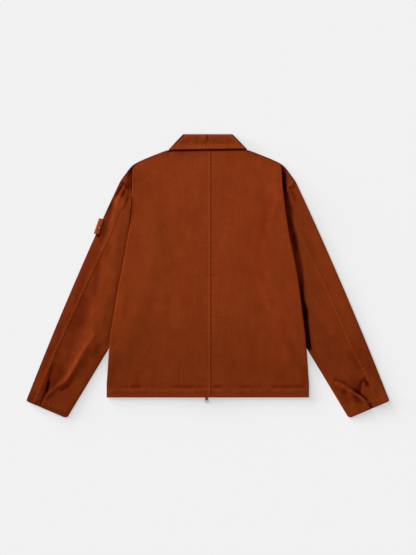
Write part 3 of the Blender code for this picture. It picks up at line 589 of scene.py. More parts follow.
def shell(name, middle, thickness, tone):
    """Thin closed cloth: the grid moved half its wall along its normals both ways, and rounded rims."""
    down = np.gradient(middle, axis=0)
    across = np.gradient(middle, axis=1)
    normal = np.cross(across, down)
    normal /= np.maximum(np.linalg.norm(normal, axis=2, keepdims=True), 1e-9)
    rows, columns = middle.shape[:2]
    rim_share = np.ones((rows, columns, 1))
    rim_share[[0, -1], :] = 0.5
    rim_share[:, [0, -1]] = 0.5
    half = normal * rim_share * thickness / 2
    points = np.concatenate([(middle + half).reshape(-1, 3), (middle - half).reshape(-1, 3)])
    index = np.arange(rows * columns).reshape(rows, columns)
    quads = np.stack([index[:-1, :-1], index[:-1, 1:], index[1:, 1:], index[1:, :-1]], -1).reshape(-1, 4)
    rim = np.concatenate([index[0, :], index[1:, -1], index[-1, -2::-1], index[-2:0:-1, 0]])
    after = np.roll(rim, -1)
    count = rows * columns
    walls = np.stack([rim, rim + count, after + count, after], -1)
    faces = np.concatenate([quads, quads[:, ::-1] + count, walls])
    a, b, c = (points[faces[:, k]] for k in (0, 1, 2))
    if (a * np.cross(b, c)).sum() + (a * np.cross(c, points[faces[:, 3]])).sum() < 0:
        faces = faces[:, ::-1]
    step_v = np.linalg.norm(np.diff(middle, axis=0), axis=2).mean(1)
    step_u = np.linalg.norm(np.diff(middle, axis=1), axis=2).mean(0)
    v = np.concatenate([[0], np.cumsum(step_v)])[:, None] + 0 * index
    u = np.concatenate([[0], np.cumsum(step_u)])[None, :] + 0 * index
    uv = np.stack([u, v], -1).reshape(-1, 2)
    uv = np.concatenate([uv, uv])
    piece = join_grid(name, points, faces, uv, np.concatenate([tone.ravel(), tone.ravel()]))
    cells = np.cross(middle[1:, 1:] - middle[:-1, :-1], middle[1:, :-1] - middle[:-1, 1:])
    area = float(np.linalg.norm(cells, axis=2).sum() / 2) * MM * MM
    piece["flat_size"] = (float(u.max()) * MM, float(v.max()) * MM, area)
    return piece


def dress(piece, material, node=None, body=BODY):
    """One piece's finish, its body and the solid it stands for."""
    piece.data.materials.append(material)
    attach(piece, body)
    if node:
        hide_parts(node)


def repeated(faces, points_each, count):
    """Quads of a small form, repeated for each of its copies."""
    return (faces[None] + points_each * np.arange(count)[:, None, None]).reshape(-1, 4)


def stitches(name, path):
    """Row of thread along a path: one low capsule per stitch, its middle half sunk into the cloth.

    Each stitch is a ring-by-ring ellipsoid stretched along the path's direction.
    """
    length = run_along(path)
    at = np.arange(STITCH_PITCH / 2, length[-1] - STITCH_PITCH / 2, STITCH_PITCH)
    centre = read_along(at, length, path)
    up = np.tile((0.0, 0.0, 1.0), (len(at), 1))
    ahead = read_along(at + 1.0, length, path) - centre
    ahead /= np.linalg.norm(ahead, axis=1, keepdims=True)
    beside = np.cross(up, ahead)
    rings = np.array((-1.0, -0.72, 0.0, 0.72, 1.0))
    girth = np.array((0.25, 0.85, 1.0, 0.85, 0.25))
    turn = np.linspace(0, 2 * np.pi, STITCH_SIDES, endpoint=False)
    along = np.repeat(rings, STITCH_SIDES)
    local_a = along * STITCH_LENGTH / 2
    local_b = np.outer(girth, np.cos(turn)).ravel() * STITCH_RADIUS
    local_c = np.outer(girth, np.sin(turn)).ravel() * STITCH_RADIUS
    sag = 0.35 * STITCH_RADIUS * np.abs(along) ** 3
    points = (centre[:, None] + ahead[:, None] * local_a[None, :, None]
              + beside[:, None] * local_b[None, :, None]
              + up[:, None] * (local_c + STITCH_LIFT - sag)[None, :, None]).reshape(-1, 3)
    index = np.arange(along.size).reshape(-1, STITCH_SIDES)
    side_faces = np.stack([index[:-1], np.roll(index[:-1], -1, 1), np.roll(index[1:], -1, 1), index[1:]],
                          -1).reshape(-1, 4)
    caps = np.array([[0, 5, 4, 3], [0, 3, 2, 1], [24, 25, 26, 27], [24, 27, 28, 29]])
    one = np.concatenate([side_faces, caps])
    dress(join_grid(name, points, repeated(one, index.size, len(at))), rust_thread)


# ---- materials ----

class Socket:
    """A shader value that adds Math nodes when it is used in a Python expression, on either side."""

    def __init__(self, nodes, link):
        self.nodes, self.link = nodes, link

    def _maths(self, operation, *values):
        return self.nodes.add("ShaderNodeMath", {"operation": operation}, dict(enumerate(values)))["Value"]

    def __add__(self, other):
        return self._maths("ADD", self, other)

    def __sub__(self, other):
        return self._maths("SUBTRACT", self, other)

    def __rsub__(self, other):
        return self._maths("SUBTRACT", other, self)

    def __mul__(self, other):
        return self._maths("MULTIPLY", self, other)

    __radd__, __rmul__ = __add__, __mul__

    def clamp(self):
        return self._maths("MINIMUM", self._maths("MAXIMUM", self, 0.0), 1.0)


class Finish:
    """A node material: add() makes any node from its settings and the values of its sockets."""

    def __init__(self, name):
        self.material = bpy.data.materials.new(name)
        self.material.use_nodes = True
        self.tree = self.material.node_tree
        self.shader = self.tree.nodes["Principled BSDF"]

    def add(self, kind, settings=None, inputs=None):
        node = self.tree.nodes.new(kind)
        for key, value in (settings or {}).items():
            if key == "stops":
                ramp = node.color_ramp
                while len(ramp.elements) < len(value):
                    ramp.elements.new(0.5)
                for element, (position, colour) in zip(ramp.elements, value):
                    element.position, element.color = position, colour
            else:
                setattr(node, key, value)
        for key, value in (inputs or {}).items():
            self.put(node.inputs[key], value)
        return {socket.name: Socket(self, socket) for socket in reversed(node.outputs)}

    def put(self, socket, value):
        if isinstance(value, Socket):
            self.tree.links.new(value.link, socket)
        else:
            socket.default_value = value

    def mix(self, share, first, second, blend="MIX"):
        node = self.tree.nodes.new("ShaderNodeMix")
        node.data_type, node.blend_type = "RGBA", blend
        self.put(node.inputs["Factor"], share)
        self.put(node.inputs["A"], first)
        self.put(node.inputs["B"], second)
        return Socket(self, next(out for out in node.outputs if out.type == "RGBA"))

    def place(self):
        """Where a point is on the piece, in metres."""
        return self.add("ShaderNodeTexCoord")["Object"]

    def attribute(self, name):
        return self.add("ShaderNodeAttribute", {"attribute_name": name})["Fac"]

    def noise(self, vector, scale, detail=3.0, roughness=0.55):
        return self.add("ShaderNodeTexNoise", {}, {"Vector": vector, "Scale": scale, "Detail": detail,
                                                   "Roughness": roughness})["Fac"]

    def stretched(self, vector, scale):
        return self.add("ShaderNodeMapping", {}, {"Vector": vector, "Scale": scale})["Vector"]

    def finish(self, colour, roughness, bump=None, distance=0.0002, **constants):
        self.put(self.shader.inputs["Base Color"], colour)
        self.put(self.shader.inputs["Roughness"], roughness)
        for key, value in constants.items():
            self.shader.inputs[key.replace("_", " ")].default_value = value
        if bump is not None:
            made = self.add("ShaderNodeBump", {}, {"Strength": 1.0, "Distance": distance, "Height": bump})
            self.put(self.shader.inputs["Normal"], made["Normal"])
        return self.material


def rgb(red, green, blue):
    """sRGB from 0 to 255 to a linear colour."""
    channel = np.array((red, green, blue)) / 255
    linear = np.where(channel <= 0.04045, channel / 12.92, ((channel + 0.055) / 1.055) ** 2.4)
    return (*linear.tolist(), 1.0)


TWILL = 0.0011                          # metres from one twill line to the next
TWILL_SLANT = math.radians(28)
LIGHT_FALLOFF_FROM = (0.0, 0.33, 0.0)            # painted light falloff: brightest at the shoulders, darkest at the cuffs
LIGHT_FALLOFF_TONE = (0.7, 0.66, 0.62, 1.0)
PAINTED_SHADE_TONE = (0.07, 0.035, 0.03, 1.0)
PAINTED_SHADE_HUE = (1.0, 0.6, 0.75, 1.0)        # painted shade turns from rust towards maroon


def cotton_twill(name, light, middle, dark, scuffed_and_lit):
    """Garment-dyed cotton twill: steep diagonal lines, slubs along the warp, a washed mottle; paler where
    the cloth is scuffed and where a highlight is painted, painted shade, and a painted light falloff.
    """
    made = Finish(name)
    cloth = made.add("ShaderNodeUVMap", {"uv_map": "cloth"})["UV"]
    place = made.place()
    turned = made.add("ShaderNodeMapping", {}, {"Vector": cloth, "Rotation": (0, 0, TWILL_SLANT)})["Vector"]
    wave = made.add("ShaderNodeTexWave",
                    {"wave_type": "BANDS", "bands_direction": "X", "wave_profile": "SIN"},
                    {"Vector": turned, "Scale": 0.314 / TWILL, "Distortion": 0.6, "Detail": 1.0})["Fac"]
    yarn = made.noise(made.stretched(cloth, (1600.0, 240.0, 1.0)), 1.0, 2.0)
    slub = made.noise(made.stretched(cloth, (420.0, 26.0, 1.0)), 1.0, 2.0)
    pick = made.noise(made.stretched(cloth, (30.0, 380.0, 1.0)), 1.0, 2.0)
    streak = made.noise(made.stretched(place, (70.0, 7.0, 7.0)), 1.0, 3.0)
    mottle = made.noise(place, 30.0, 4.0, 0.6)
    cloud = made.noise(place, 6.0, 2.0)
    # paler: scuffed cloth and painted highlight
    wear = made.attribute("wear")
    tone = 0.5 + (mottle - 0.5) * 0.32 + (streak - 0.5) * 0.25 + (cloud - 0.5) * 0.2 + (slub - 0.5) * 0.5 \
        + (pick - 0.5) * 0.45 + (wave - 0.5) * 0.12 + (yarn - 0.5) * 0.16
    colour = made.add("ShaderNodeValToRGB", {"stops": ((0.18, dark), (0.5, middle), (0.82, light))},
                      {"Fac": tone})["Color"]
    paler_share = (wear * (0.45 + mottle * 0.9)).clamp()
    colour = made.mix(paler_share * 0.7, colour, scuffed_and_lit)
    # darker: painted shade, also turned towards maroon
    shade = made.attribute("deep")
    colour = made.mix(shade, colour, PAINTED_SHADE_TONE, "MULTIPLY")
    colour = made.mix(shade, colour, PAINTED_SHADE_HUE, "MULTIPLY")
    # painted light falloff with distance from the shoulders
    reach = made.add("ShaderNodeVectorMath", {"operation": "DISTANCE"}, {0: place, 1: LIGHT_FALLOFF_FROM})["Value"]
    light_falloff = made.add("ShaderNodeMapRange", {"interpolation_type": "SMOOTHSTEP"},
                    {"Value": reach, "From Min": 0.1, "From Max": 0.85})["Result"]
    colour = made.mix(light_falloff, colour, LIGHT_FALLOFF_TONE, "MULTIPLY")
    bump = wave * 0.45 + yarn * 0.35 + slub * 0.5 + mottle * 0.8
    return made.finish(colour, 0.86 + (mottle - 0.5) * 0.1, bump, 0.00022, Specular_Tint=light,
                       Sheen_Tint=light, Sheen_Weight=0.1, Sheen_Roughness=0.5, Specular_IOR_Level=0.04)


def thread(name, colour, deep):
    """Sewing thread: fine two-ply twist along its length."""
    made = Finish(name)
    place = made.place()
    fuzz = made.noise(place, 2600.0, 2.0)
    tone = made.noise(place, 90.0, 2.0)
    return made.finish(made.mix(tone, deep, colour), 0.75, fuzz, 0.0001, Specular_IOR_Level=0.12)


def metal(name, colour, deep, roughness, metallic):
    """Cast metal: a fine grain in its roughness and broad patches in its colour."""
    made = Finish(name)
    place = made.place()
    grain = made.noise(place, 900.0, 3.0)
    patch = made.noise(place, 160.0, 2.0)
    return made.finish(made.mix(patch, deep, colour), roughness + (grain - 0.5) * 0.2, grain, 0.00003,
                       Metallic=metallic)


def plastic(name, colour, deep, middle):
    """Mottled plastic with a paler middle, which the paler attribute marks."""
    made = Finish(name)
    place = made.place()
    swirl = made.noise(place, 240.0, 4.0)
    rim = made.mix(swirl, deep, colour)
    dish = made.attribute("wear")
    return made.finish(made.mix(dish, rim, middle), 0.45 + swirl * 0.15, swirl, 0.00003,
                       Specular_IOR_Level=0.25)


COTTONS = {                             # light, middle and dark of the dye, and the paler colour of scuffed cloth and painted highlight
    "rust_cotton": ((143, 62, 27), (130, 53, 20), (115, 43, 14), (168, 75, 31)),
    # the tab: the same cotton painted lighter, as the tab stands up into the light
    "lit_tab_cotton": ((166, 76, 29), (153, 66, 24), (132, 51, 17), (184, 92, 46)),
    "tape_cloth": ((104, 40, 18), (92, 34, 15), (80, 28, 12), (116, 50, 24)),
}
cotton, lit_tab_cotton, tape_cloth = (cotton_twill(name, *(rgb(*dye) for dye in dyes))
                                  for name, dyes in COTTONS.items())
rust_thread = thread("rust_thread", rgb(124, 46, 16), rgb(108, 38, 12))
ring_metal = metal("ring_metal", (0.62, 0.5, 0.5, 1), (0.5, 0.4, 0.41, 1), 0.42, 0.6)
slider_metal = metal("slider_metal", (0.2, 0.06, 0.025, 1), (0.12, 0.035, 0.014, 1), 0.45, 0.5)
button_plastic = plastic("button_plastic", rgb(104, 36, 14), rgb(84, 28, 10), rgb(156, 88, 74))


def cloth(name, node, middle, tone, rests_on, thickness=CLOTH, material=cotton, slot="cotton"):
    """One cloth piece from its grid of middle points: closed and dressed."""
    piece = shell(name, middle, thickness, tone)
    width, length, area = piece["flat_size"]
    dress(piece, material, node)
    width = max(width, area / length * 1.001)


# ---- body ----

def settle(level, face, edge):
    """The out at which each row of a panel crosses an edge that is given as out against y."""
    out = np.linspace(150.0, 290.0, 1401)[None, :]
    y = HEM_Y + level * (top_y(out, face) - HEM_Y)
    return out[0, np.argmin(np.abs(edge(y) - out), axis=1)][:, None]


def back_scuffed_and_lit(side, out, y, fold):
    """Paler cloth of the back, scuffed and with painted highlight: ridge of the centre seam, the hem's band
    and bottom, and the shoulder.
    """
    x = side * out
    scuffed_and_lit = (
        bell(x - CENTRE_SEAM_X + 4.0, 2.4) * (0.38 + 0.2 * pucker(y * 0.7, SEED["centre_wear"])),
        bell(y - HEM_STITCH + 1.5, 2.8) * spots(HEM_LIGHTS, x)
        * (0.75 + 0.3 * pucker(x * 1.15, SEED["hem"])),
        0.3 * bell(x - CENTRE_SEAM_X - 3.4, 1.2),
        (0.14 + 0.12 * pucker(x * 0.9, SEED["hem_wear"])) * bell(y - HEM_Y - 7.0, 2.0),
        0.08 * bell(out - fold, 2.0) * smooth((y - 205.0) / 12.0),
    )
    return np.maximum.reduce(scuffed_and_lit)


def back_shade(side, out, y, fold, leaf_shadow):
    """Painted shade on the back: hem hollows and pockets, the bottom edge, the centre seam's line, the
    collar's shadow and a spot beside it, along the shoulder line and inside the left fold."""
    x = side * out
    rim = top_y(out, 1) - y
    narrow, wide = RIM_SHADE[side]
    shade = 0.42 * spots(HEM_HOLLOWS, x) * bell(y - HEM_Y - HEM_DEPTH - 6.5, 5.0)
    shade += 0.4 * spots(HEM_POCKETS, x) * bell(y - HEM_Y - 12.0, 3.2)
    shade += 0.3 * smooth((4.5 - y + HEM_Y) / 3.0)
    shade += 0.6 * bell(x - CENTRE_SEAM_X - 0.2, 0.9) * (0.75 + 0.25 * pucker(y * 0.8, SEED["centre_line"]))
    shade += 0.95 * leaf_shadow
    shade += 0.7 * bell(x + 107.0, 3.0) * bell(y - 342.0, 3.0)
    shade += (narrow * smooth((11.0 - rim) / 10.0) + wide * smooth((24.0 - rim) / 12.0)) \
        * smooth((out - 103.0) / 8.0)
    return shade + 0.45 * (side < 0) * bell(fold - out - 2.0, 3.0) * smooth((y - 120.0) / 60.0)


def body_panel(side, face, rows, columns):
    """Half a back or front: each row runs out from the middle, turns at the side fold and goes back in
    to its seam; near the shoulder the turn is only a step down to the cloth that runs on outwards."""
    is_back = face > 0
    level = np.concatenate([np.linspace(0, 0.08, rows // 5), np.linspace(0.08, 0.955, rows)[1:],
                            np.linspace(0.955, 1.0, 16)[1:]])[:, None]

    def row_y(out):
        return HEM_Y + level * (top_y(out, face) - HEM_Y)

    # where each row starts, folds and ends, and its heights there
    start = side * CENTRE_SEAM_X + GAP / 2 if is_back else side * ZIP_X + ZIP_HALF
    if is_back and side > 0:
        start = start - SEAM_LAP
    fold = settle(level, face, lambda y: fold_out(side, y)) - (0.0 if is_back else 1.0)
    edge = settle(level, face, lambda y: panel_edge_out(side, y))
    fold_y = row_y(fold)
    back_here = back_z(side, fold, fold_y)
    outer_z = back_here + side_swell(side, fold, fold_y) if is_back else front_z(side, fold, fold_y)
    seam_z = (back_here + FRONT_Z) / 2 + face * LAYER / 2
    full_return = BACK_SIDE_Z - BACK_RETURN_DROP if is_back else FRONT_RETURN_Z
    return_z = seam_z + (full_return - seam_z) * smooth((fold_y + 215.0) / 25.0)
    stepped = smooth((fold_y - STEP_FROM_Y) / 12.0)
    radius = np.maximum(np.abs(outer_z - return_z) / 2, 0.7) * (1 - stepped) + stepped

    # outer face
    spread = np.linspace(0, 1, columns)[None, :]
    top_out = start + (fold - radius - start) * spread * (0.3 + 0.7 * spread)
    top_y_here = row_y(top_out)
    top_height = (back_z if is_back else front_z)(side, top_out, top_y_here)

    # round turn and the way home to the seam
    turn = np.pi * after_first(TURN_COLUMNS)
    turn_out = fold - radius + radius * np.sin(turn)
    turn_height = (outer_z + return_z) / 2 + (outer_z - return_z) / 2 * np.cos(turn)
    end = np.minimum(edge, fold - radius - 2.0)
    home_out = end + (fold - radius - end) * (1 - after_first(RETURN_COLUMNS))
    close = smooth(1 - (home_out - end) / 7.5) * (row_y(end) < UNDERARM[1] - 2.0)
    home_height = return_z + (seam_z - return_z) * close

    # near the shoulder: a step down and the wedge of cloth that runs on to the armhole
    lift = SLEEVE_FOLD if is_back else 0.0
    step_share = after_first(TURN_COLUMNS)
    step_out = fold - radius + (radius + 1.6) * step_share
    foot_out = fold + 1.6
    foot = sleeve_low_z(side, foot_out, row_y(foot_out)) + lift
    step_height = outer_z + (foot - outer_z) * smooth(step_share)
    wedge_end = np.maximum(edge + (SEAM_LAP if is_back else -GAP), fold + 2.4)
    wedge_out = foot_out + (wedge_end - foot_out) * after_first(RETURN_COLUMNS)
    wedge_y = row_y(wedge_out)
    wedge_height = sleeve_low_z(side, wedge_out, wedge_y) + lift
    if is_back:
        wedge_height += LAP_LIFT * smooth((wedge_out - wedge_end + 6.0) / 3.0)
        shoulder_line = smooth((top_y(wedge_out, 1) - wedge_y) / 7.0)
        wedge_relief, wedge_tone = sleeve_relief(side, side * wedge_out, wedge_y)
        wedge_height += np.maximum(wedge_relief, -0.45) * shoulder_line

    def blended(turned, run_on):
        return np.hstack(turned) * (1 - stepped) + np.hstack(run_on) * stepped

    out = np.hstack([top_out, blended([turn_out, home_out], [step_out, wedge_out])])
    height = np.hstack([top_height, blended([turn_height, home_height], [step_height, wedge_height])])
    y = row_y(out)
    tone = np.zeros_like(out)
    if is_back:
        relief, tone[:, :columns] = back_relief(side, top_out, top_y_here)
        lap_drop = 0.9 * (side > 0) * smooth((CENTRE_SEAM_X + 0.6 - top_out) / 0.8)
        height[:, :columns] += side_swell(side, top_out, top_y_here) - lap_drop \
            + relief * smooth((1.0 - top_out / fold) * 18.0)
        edge_share = smooth((level - 0.965) / 0.035) ** 2 * smooth((out - 96.0) / 14.0)
        seat = front_z(side, out, y) + LAYER + 0.4
        height += (seat - height) * edge_share
        # painted shadow of the collar's lower edge on the back
        leaf_shadow = smooth((y - 342.2 - COLLAR_TILT * side * out) / 2.4) * smooth((110.0 - out) / 3.0)
        # paler cloth: scuffed and with painted highlight
        wear = back_scuffed_and_lit(side, out, y, fold)
        wear[:, columns + TURN_COLUMNS:] = 0.0
        wear *= 1 - leaf_shadow
        tone += 0.86 * back_shade(side, out, y, fold, leaf_shadow) * (1 - smooth(wear / 0.5)) - wear
        # painted shade on the wedge by the shoulder: its creases' tone, the fold's painted shadow and the
        # step
        tone[:, -RETURN_COLUMNS:] += stepped * (wedge_tone + fold_shade(side, wedge_out - fold, wedge_y))
        tone[:, columns:columns + TURN_COLUMNS] += stepped * STEP_SHADE[side] * step_share
    else:
        height[:, :columns] += 0.25 * smooth((HEM_Y + HEM_DEPTH - y[:, :columns]) / 3.0)
    return np.stack([side * out, y, height], -1), tone


backs = {}
for side, where in SIDE_NAMES.items():
    backs[side], tone = body_panel(side, 1, *BACK_GRID)
    cloth(f"back_cloth_{where}", f"back_{where}", backs[side], tone,
          [f"front_cloth_{where}", f"upper_sleeve_cloth_{where}"])
    cloth(f"front_cloth_{where}", f"front_{where}", *body_panel(side, -1, *FRONT_GRID), ["floor"])


# ---- sleeves ----

def seam_share(side, share):
    """Where the arm seam crosses the sleeve's width."""
    return curve(ARM_SEAM, share, COLUMN[side])


def ridge_share(side, share):
    """The seam's raised band, which runs straight on where the seam itself bends to the vent."""
    return seam_share(side, share) - curve(RIDGE_END, share, COLUMN[side])


def sleeve_painted_shade_and_paler(side, share, width, band):
    """Painted shade and paler cloth of a sleeve: painted shade at the cuff's end and along the outer edge,
    the tab's painted shadow; scuffed cloth with painted highlight on the seam band, the cuff's band and
    the folded edges."""
    reach = sleeve_reach(share)
    from_outer, from_inner = width * reach, (1 - width) * reach
    cuff_line = (1 - share) * CUFF_RUN
    shade = 0.3 * smooth((3.5 - cuff_line) / 3.0)
    shade = shade + EDGE_TONE[side] * bell(from_outer, 6.0) * smooth((share - 0.12) / 0.06)
    if side < 0:
        start, end = TAB_SPAN
        beside = smooth((share - start + 0.003) / 0.006) * smooth((end + 0.004 - share) / 0.004)
        reached = np.interp(share, TAB_SPAN, TAB_SHADOW) + np.interp(share, TAB_SPAN, TAB_BACK)
        shade = shade + 2.0 * beside * smooth((reached - from_outer) / 1.5)
    wear = band * (0.22 + 0.26 * pucker(share * ARM_SEAM_RUN, SEED["arm_seam"] + side))
    wear = np.maximum(wear, 0.06 * bell(cuff_line - CUFF_DEPTH, 3.0))
    return shade, np.maximum(wear, EDGE_SCUFFED_AND_LIT[side] * bell(from_outer, 4.0) + 0.2 * bell(from_inner, 2.0))


def sleeve_up(side, share, width, side_of_seam=0.0):
    """Upper ply: the folded edge's height, the puff, the creases, the arm seam's ridge and puckers; its
    tone is painted shade and highlight with scuffed cloth.
    """
    plan = sleeve_plan(share, width)
    out, y = plan[..., 0], plan[..., 1]
    reach = sleeve_reach(share)
    beyond = out - fold_out(side, y)
    past_fold = np.where(y > CROTCH[1], beyond, 99.0)
    clear = smooth(past_fold / 30.0)
    outside = smooth((past_fold + 2.0) / 6.0)
    head = smooth(share / 0.12)
    round_edge = np.sin(np.pi * np.clip(width, 0, 1)) ** 0.6
    puff = (SLEEVE_PUFF + (OUTER_PUFF - SLEEVE_PUFF) * clear) * round_edge * head
    right_hand = (width if side > 0 else 1 - width) * reach
    roll = EDGE_ROLL[side] * np.sqrt(1 - (1 - np.clip(right_hand / 6.0, 0, 1)) ** 2) \
        * smooth((46.0 - right_hand) / 40.0) * clear * head

    across = (width - ridge_share(side, share)) * reach
    band = smooth((across + SEAM_WIDTH + 1.0) / 4.0) * smooth((1.5 - across) / 3.0) \
        * smooth((share - 0.06) / 0.1)
    gather = 0.3 * pucker(share * ARM_SEAM_RUN, SEED["arm_seam"] + side) * bell(across + 4.0, 8.0)
    cuff_line = (1 - share) * CUFF_RUN
    cuff = 0.3 * smooth((CUFF_DEPTH - cuff_line) / 2.0) \
        + 0.22 * pucker(across, SEED["cuff"] + side) * bell(cuff_line - CUFF_DEPTH, 6.0)

    edge = smooth(width * reach / 5.0) * smooth((1 - width) * reach / 8.0)
    relief, tone = sleeve_relief(side, side * out, y) * outside * smooth(share / 0.012)
    depth, spread = FOLD_DIP[side]
    dip = depth * bell(np.maximum(past_fold, 0.0), spread) * outside * smooth(share / 0.06) * edge
    height = sleeve_low_z(side, out, y) + SLEEVE_FOLD + puff + roll \
        + np.maximum(relief * edge - dip, -0.9 * (puff + 0.4)) + (0.3 * band + gather + cuff) * outside \
        + LAP_LIFT * side_of_seam * smooth(share / 0.02) - 1.2 * smooth(-share / 0.003)
    shade, wear = sleeve_painted_shade_and_paler(side, share, width, band)
    # painted shadow of the side fold, and the painted shade and paler cloth from above
    tone = tone + fold_shade(side, beyond, y) + shade
    return plan, height, tone - wear * outside * (tone < 0.9)


def sleeve_panel(side, part, rows, columns):
    """Upper or under sleeve: wraps one edge of the flattened sleeve from the arm seam to the front seam."""
    share = np.concatenate([(-0.006, -0.003), np.linspace(0.0007, 1.0, rows)])[:, None]
    reach = sleeve_reach(share)
    seam = seam_share(side, share)
    vent = smooth((share - 0.955) / 0.03)
    half_gap = (VENT_HALF * vent - SEAM_LAP / 2 * (1 - vent)) / reach
    tuck = SLEEVE_FOLD / 2 / reach
    front = UNDER_SLEEVE_SEAM + 0 * share
    ramp_top, ramp_low = (np.linspace(0, 1, count)[None, :] for count in columns)
    turn = np.pi * after_first(TURN_COLUMNS)[:, :-1]
    if part == "upper":
        above = seam - half_gap + (tuck - seam + half_gap) * ramp_top
        below = tuck + (front - GAP / 2 / reach - tuck) * ramp_low
        fold_width = tuck * (1 - np.sin(turn))
    else:
        above = seam + half_gap + (1 - tuck - seam - half_gap) * ramp_top
        below = 1 - tuck + (front + GAP / 2 / reach - 1 + tuck) * ramp_low
        fold_width = 1 - tuck * (1 - np.sin(turn))
    lap = smooth(1 - np.abs(above - seam) * reach / 10.0) * (0.12 if part == "upper" else -0.16) \
        * smooth((share - 0.08) / 0.1) * smooth((0.88 - share) / 0.04)
    plan_up, up, tone_up = sleeve_up(side, share + 0 * above, above, lap)
    plan_low = sleeve_plan(share + 0 * below, below)
    low = sleeve_low_z(side, plan_low[..., 0], plan_low[..., 1])
    inner_wave = 0.25 * (1 + ripple(plan_low[..., 0], plan_low[..., 1], SEED["inside"] + side, 70.0)) \
        * smooth(np.minimum(below, 1 - below) * reach / 20.0)
    low = low + np.clip(inner_wave, 0, 0.6)
    plan_fold = sleeve_plan(share + 0 * fold_width, fold_width)
    for head in (plan_up, plan_low, plan_fold):
        head[..., 0] -= 5.0 * smooth(-share / 0.005)
    fold_height = (up[:, -1:] + low[:, :1]) / 2 + (up[:, -1:] - low[:, :1]) / 2 * np.cos(turn)
    plan = np.concatenate([plan_up, plan_fold, plan_low], axis=1)
    height = np.concatenate([up, fold_height, low], axis=1)
    tone = np.concatenate([tone_up, np.repeat(tone_up[:, -1:], turn.shape[1], 1), 0 * low], axis=1)
    return np.stack([side * plan[..., 0], plan[..., 1], height], -1), tone


for side, where in SIDE_NAMES.items():
    for part, columns in (("upper", UPPER_COLUMNS), ("under", UNDER_COLUMNS)):
        cloth(f"{part}_sleeve_cloth_{where}", f"{part}_sleeve_{where}",
              *sleeve_panel(side, part, SLEEVE_ROWS, columns), ["floor"])


# ---- collar ----

def collar_band(roll, turn, fall_y, front_line, heights, bulge, end_x):
    """Band round the neck, flattened: back half, slanted turn at each side and front half below.

    Stations run from the left front end round the back to the right; columns run from the roll down.
    """
    roll, turn = np.array(roll), np.array(turn)
    back_share = np.linspace(0, 1, 30)[:-1]
    slant = np.array((roll[1] - turn[1], turn[0] - roll[0]))
    slant = slant / np.linalg.norm(slant)
    angle = np.radians(np.linspace(90, -90, 11))
    shift = (slant[None, :] * bulge) * (np.cos(angle)[:, None] - 1)
    front_share = np.linspace(0, 1, 34)[1:]
    line = np.array(front_line)
    steps = np.linspace(0, 1, len(line))
    top = np.concatenate([np.stack([roll[0] * back_share, roll[1] + 0 * back_share], -1), roll + 0.3 * shift,
                          (roll - slant * bulge) + (np.array((end_x, COLLAR_FRONT[1])) - roll
                                                    + slant * bulge) * front_share[:, None]])
    front_edge = read_along(front_share, steps, line)
    bottom = np.concatenate([np.stack([turn[0] * back_share, fall_y + (turn[1] - fall_y)
                                       * smooth((back_share - 0.9) / 0.1)], -1), turn + shift, front_edge])
    middle_z, half_z = (heights[0] + heights[1]) / 2, (heights[0] - heights[1]) / 2
    height = np.concatenate([heights[0] + 0 * back_share, middle_z + half_z * np.sin(angle),
                             heights[1] + 0 * front_share])
    across = np.linspace(0, 1, 22)
    half = top[:, None] + (bottom - top)[:, None] * across[None, :, None]
    half = np.concatenate([half, height[:, None, None] + 0 * half[..., :1]], -1)
    mirrored = half[:0:-1].copy()
    mirrored[..., 0] *= -1
    return np.concatenate([mirrored, half])


turn_spot, point_spot = np.array(COLLAR_TURN), np.array(COLLAR_POINT)
leaf_line = [turn_spot - np.array((1.4, 1.4)), turn_spot + (point_spot - turn_spot) * 0.5 - 0.9,
             point_spot - 0.9]
leaf = collar_band(COLLAR_ROLL, COLLAR_TURN, COLLAR_FALL_Y, leaf_line, LEAF_Z, 1.8, COLLAR_FRONT[0])
on_back = smooth((leaf[..., 2] - 5.0) / 2.0)
leaf[..., 1] += COLLAR_TILT * leaf[..., 0] * smooth((COLLAR_ROLL[1] - leaf[..., 1]) / 30.0) * on_back
leaf_x, leaf_y = leaf[..., 0], leaf[..., 1]
from_roll = COLLAR_ROLL[1] - leaf_y
roll_down = -3.4 * (1 - np.sqrt(np.clip(1 - (1 - np.clip(from_roll / 9.0, 0, 1)) ** 2, 0, 1)))
gathers = pucker(leaf_x * 1.19, SEED["collar"])
collar_pucker = 0.4 * gathers * bell(leaf_y - COLLAR_FALL_Y - 9.0, 6.0)
collar_height, collar_tone = creases(COLLAR_CREASES, leaf_x, leaf_y)
collar_swell = 0.3 * ripple(leaf_x, leaf_y, SEED["collar_swell"], 44.0)
leaf[..., 2] += on_back * (roll_down + collar_pucker + collar_height + collar_swell
                           - 0.5 * smooth((leaf_y - COLLAR_FALL_Y) / 8.0) + 0.5)
side_edge = ((leaf_y - COLLAR_TURN[1]) * (COLLAR_TURN[0] - COLLAR_ROLL[0])
             + (np.abs(leaf_x) - COLLAR_TURN[0]) * (COLLAR_ROLL[1] - COLLAR_TURN[1])) / COLLAR_SLANT
above_fall = leaf_y - COLLAR_FALL_Y - COLLAR_TILT * leaf_x
# paler bands of the leaf: scuffed cloth and painted highlight by its lower edge, its turned sides and its
# gathers
leaf_scuffed_and_lit = np.maximum(bell(above_fall - 3.6, 2.2),
                       0.6 * bell(side_edge + 6.0, 2.2) * smooth(from_roll / 12.0))
leaf_scuffed_and_lit = np.maximum(leaf_scuffed_and_lit, (0.5 + 0.5 * gathers) * bell(above_fall - 10.0, 4.0))
left_hand = smooth(-leaf_x / 4.0)
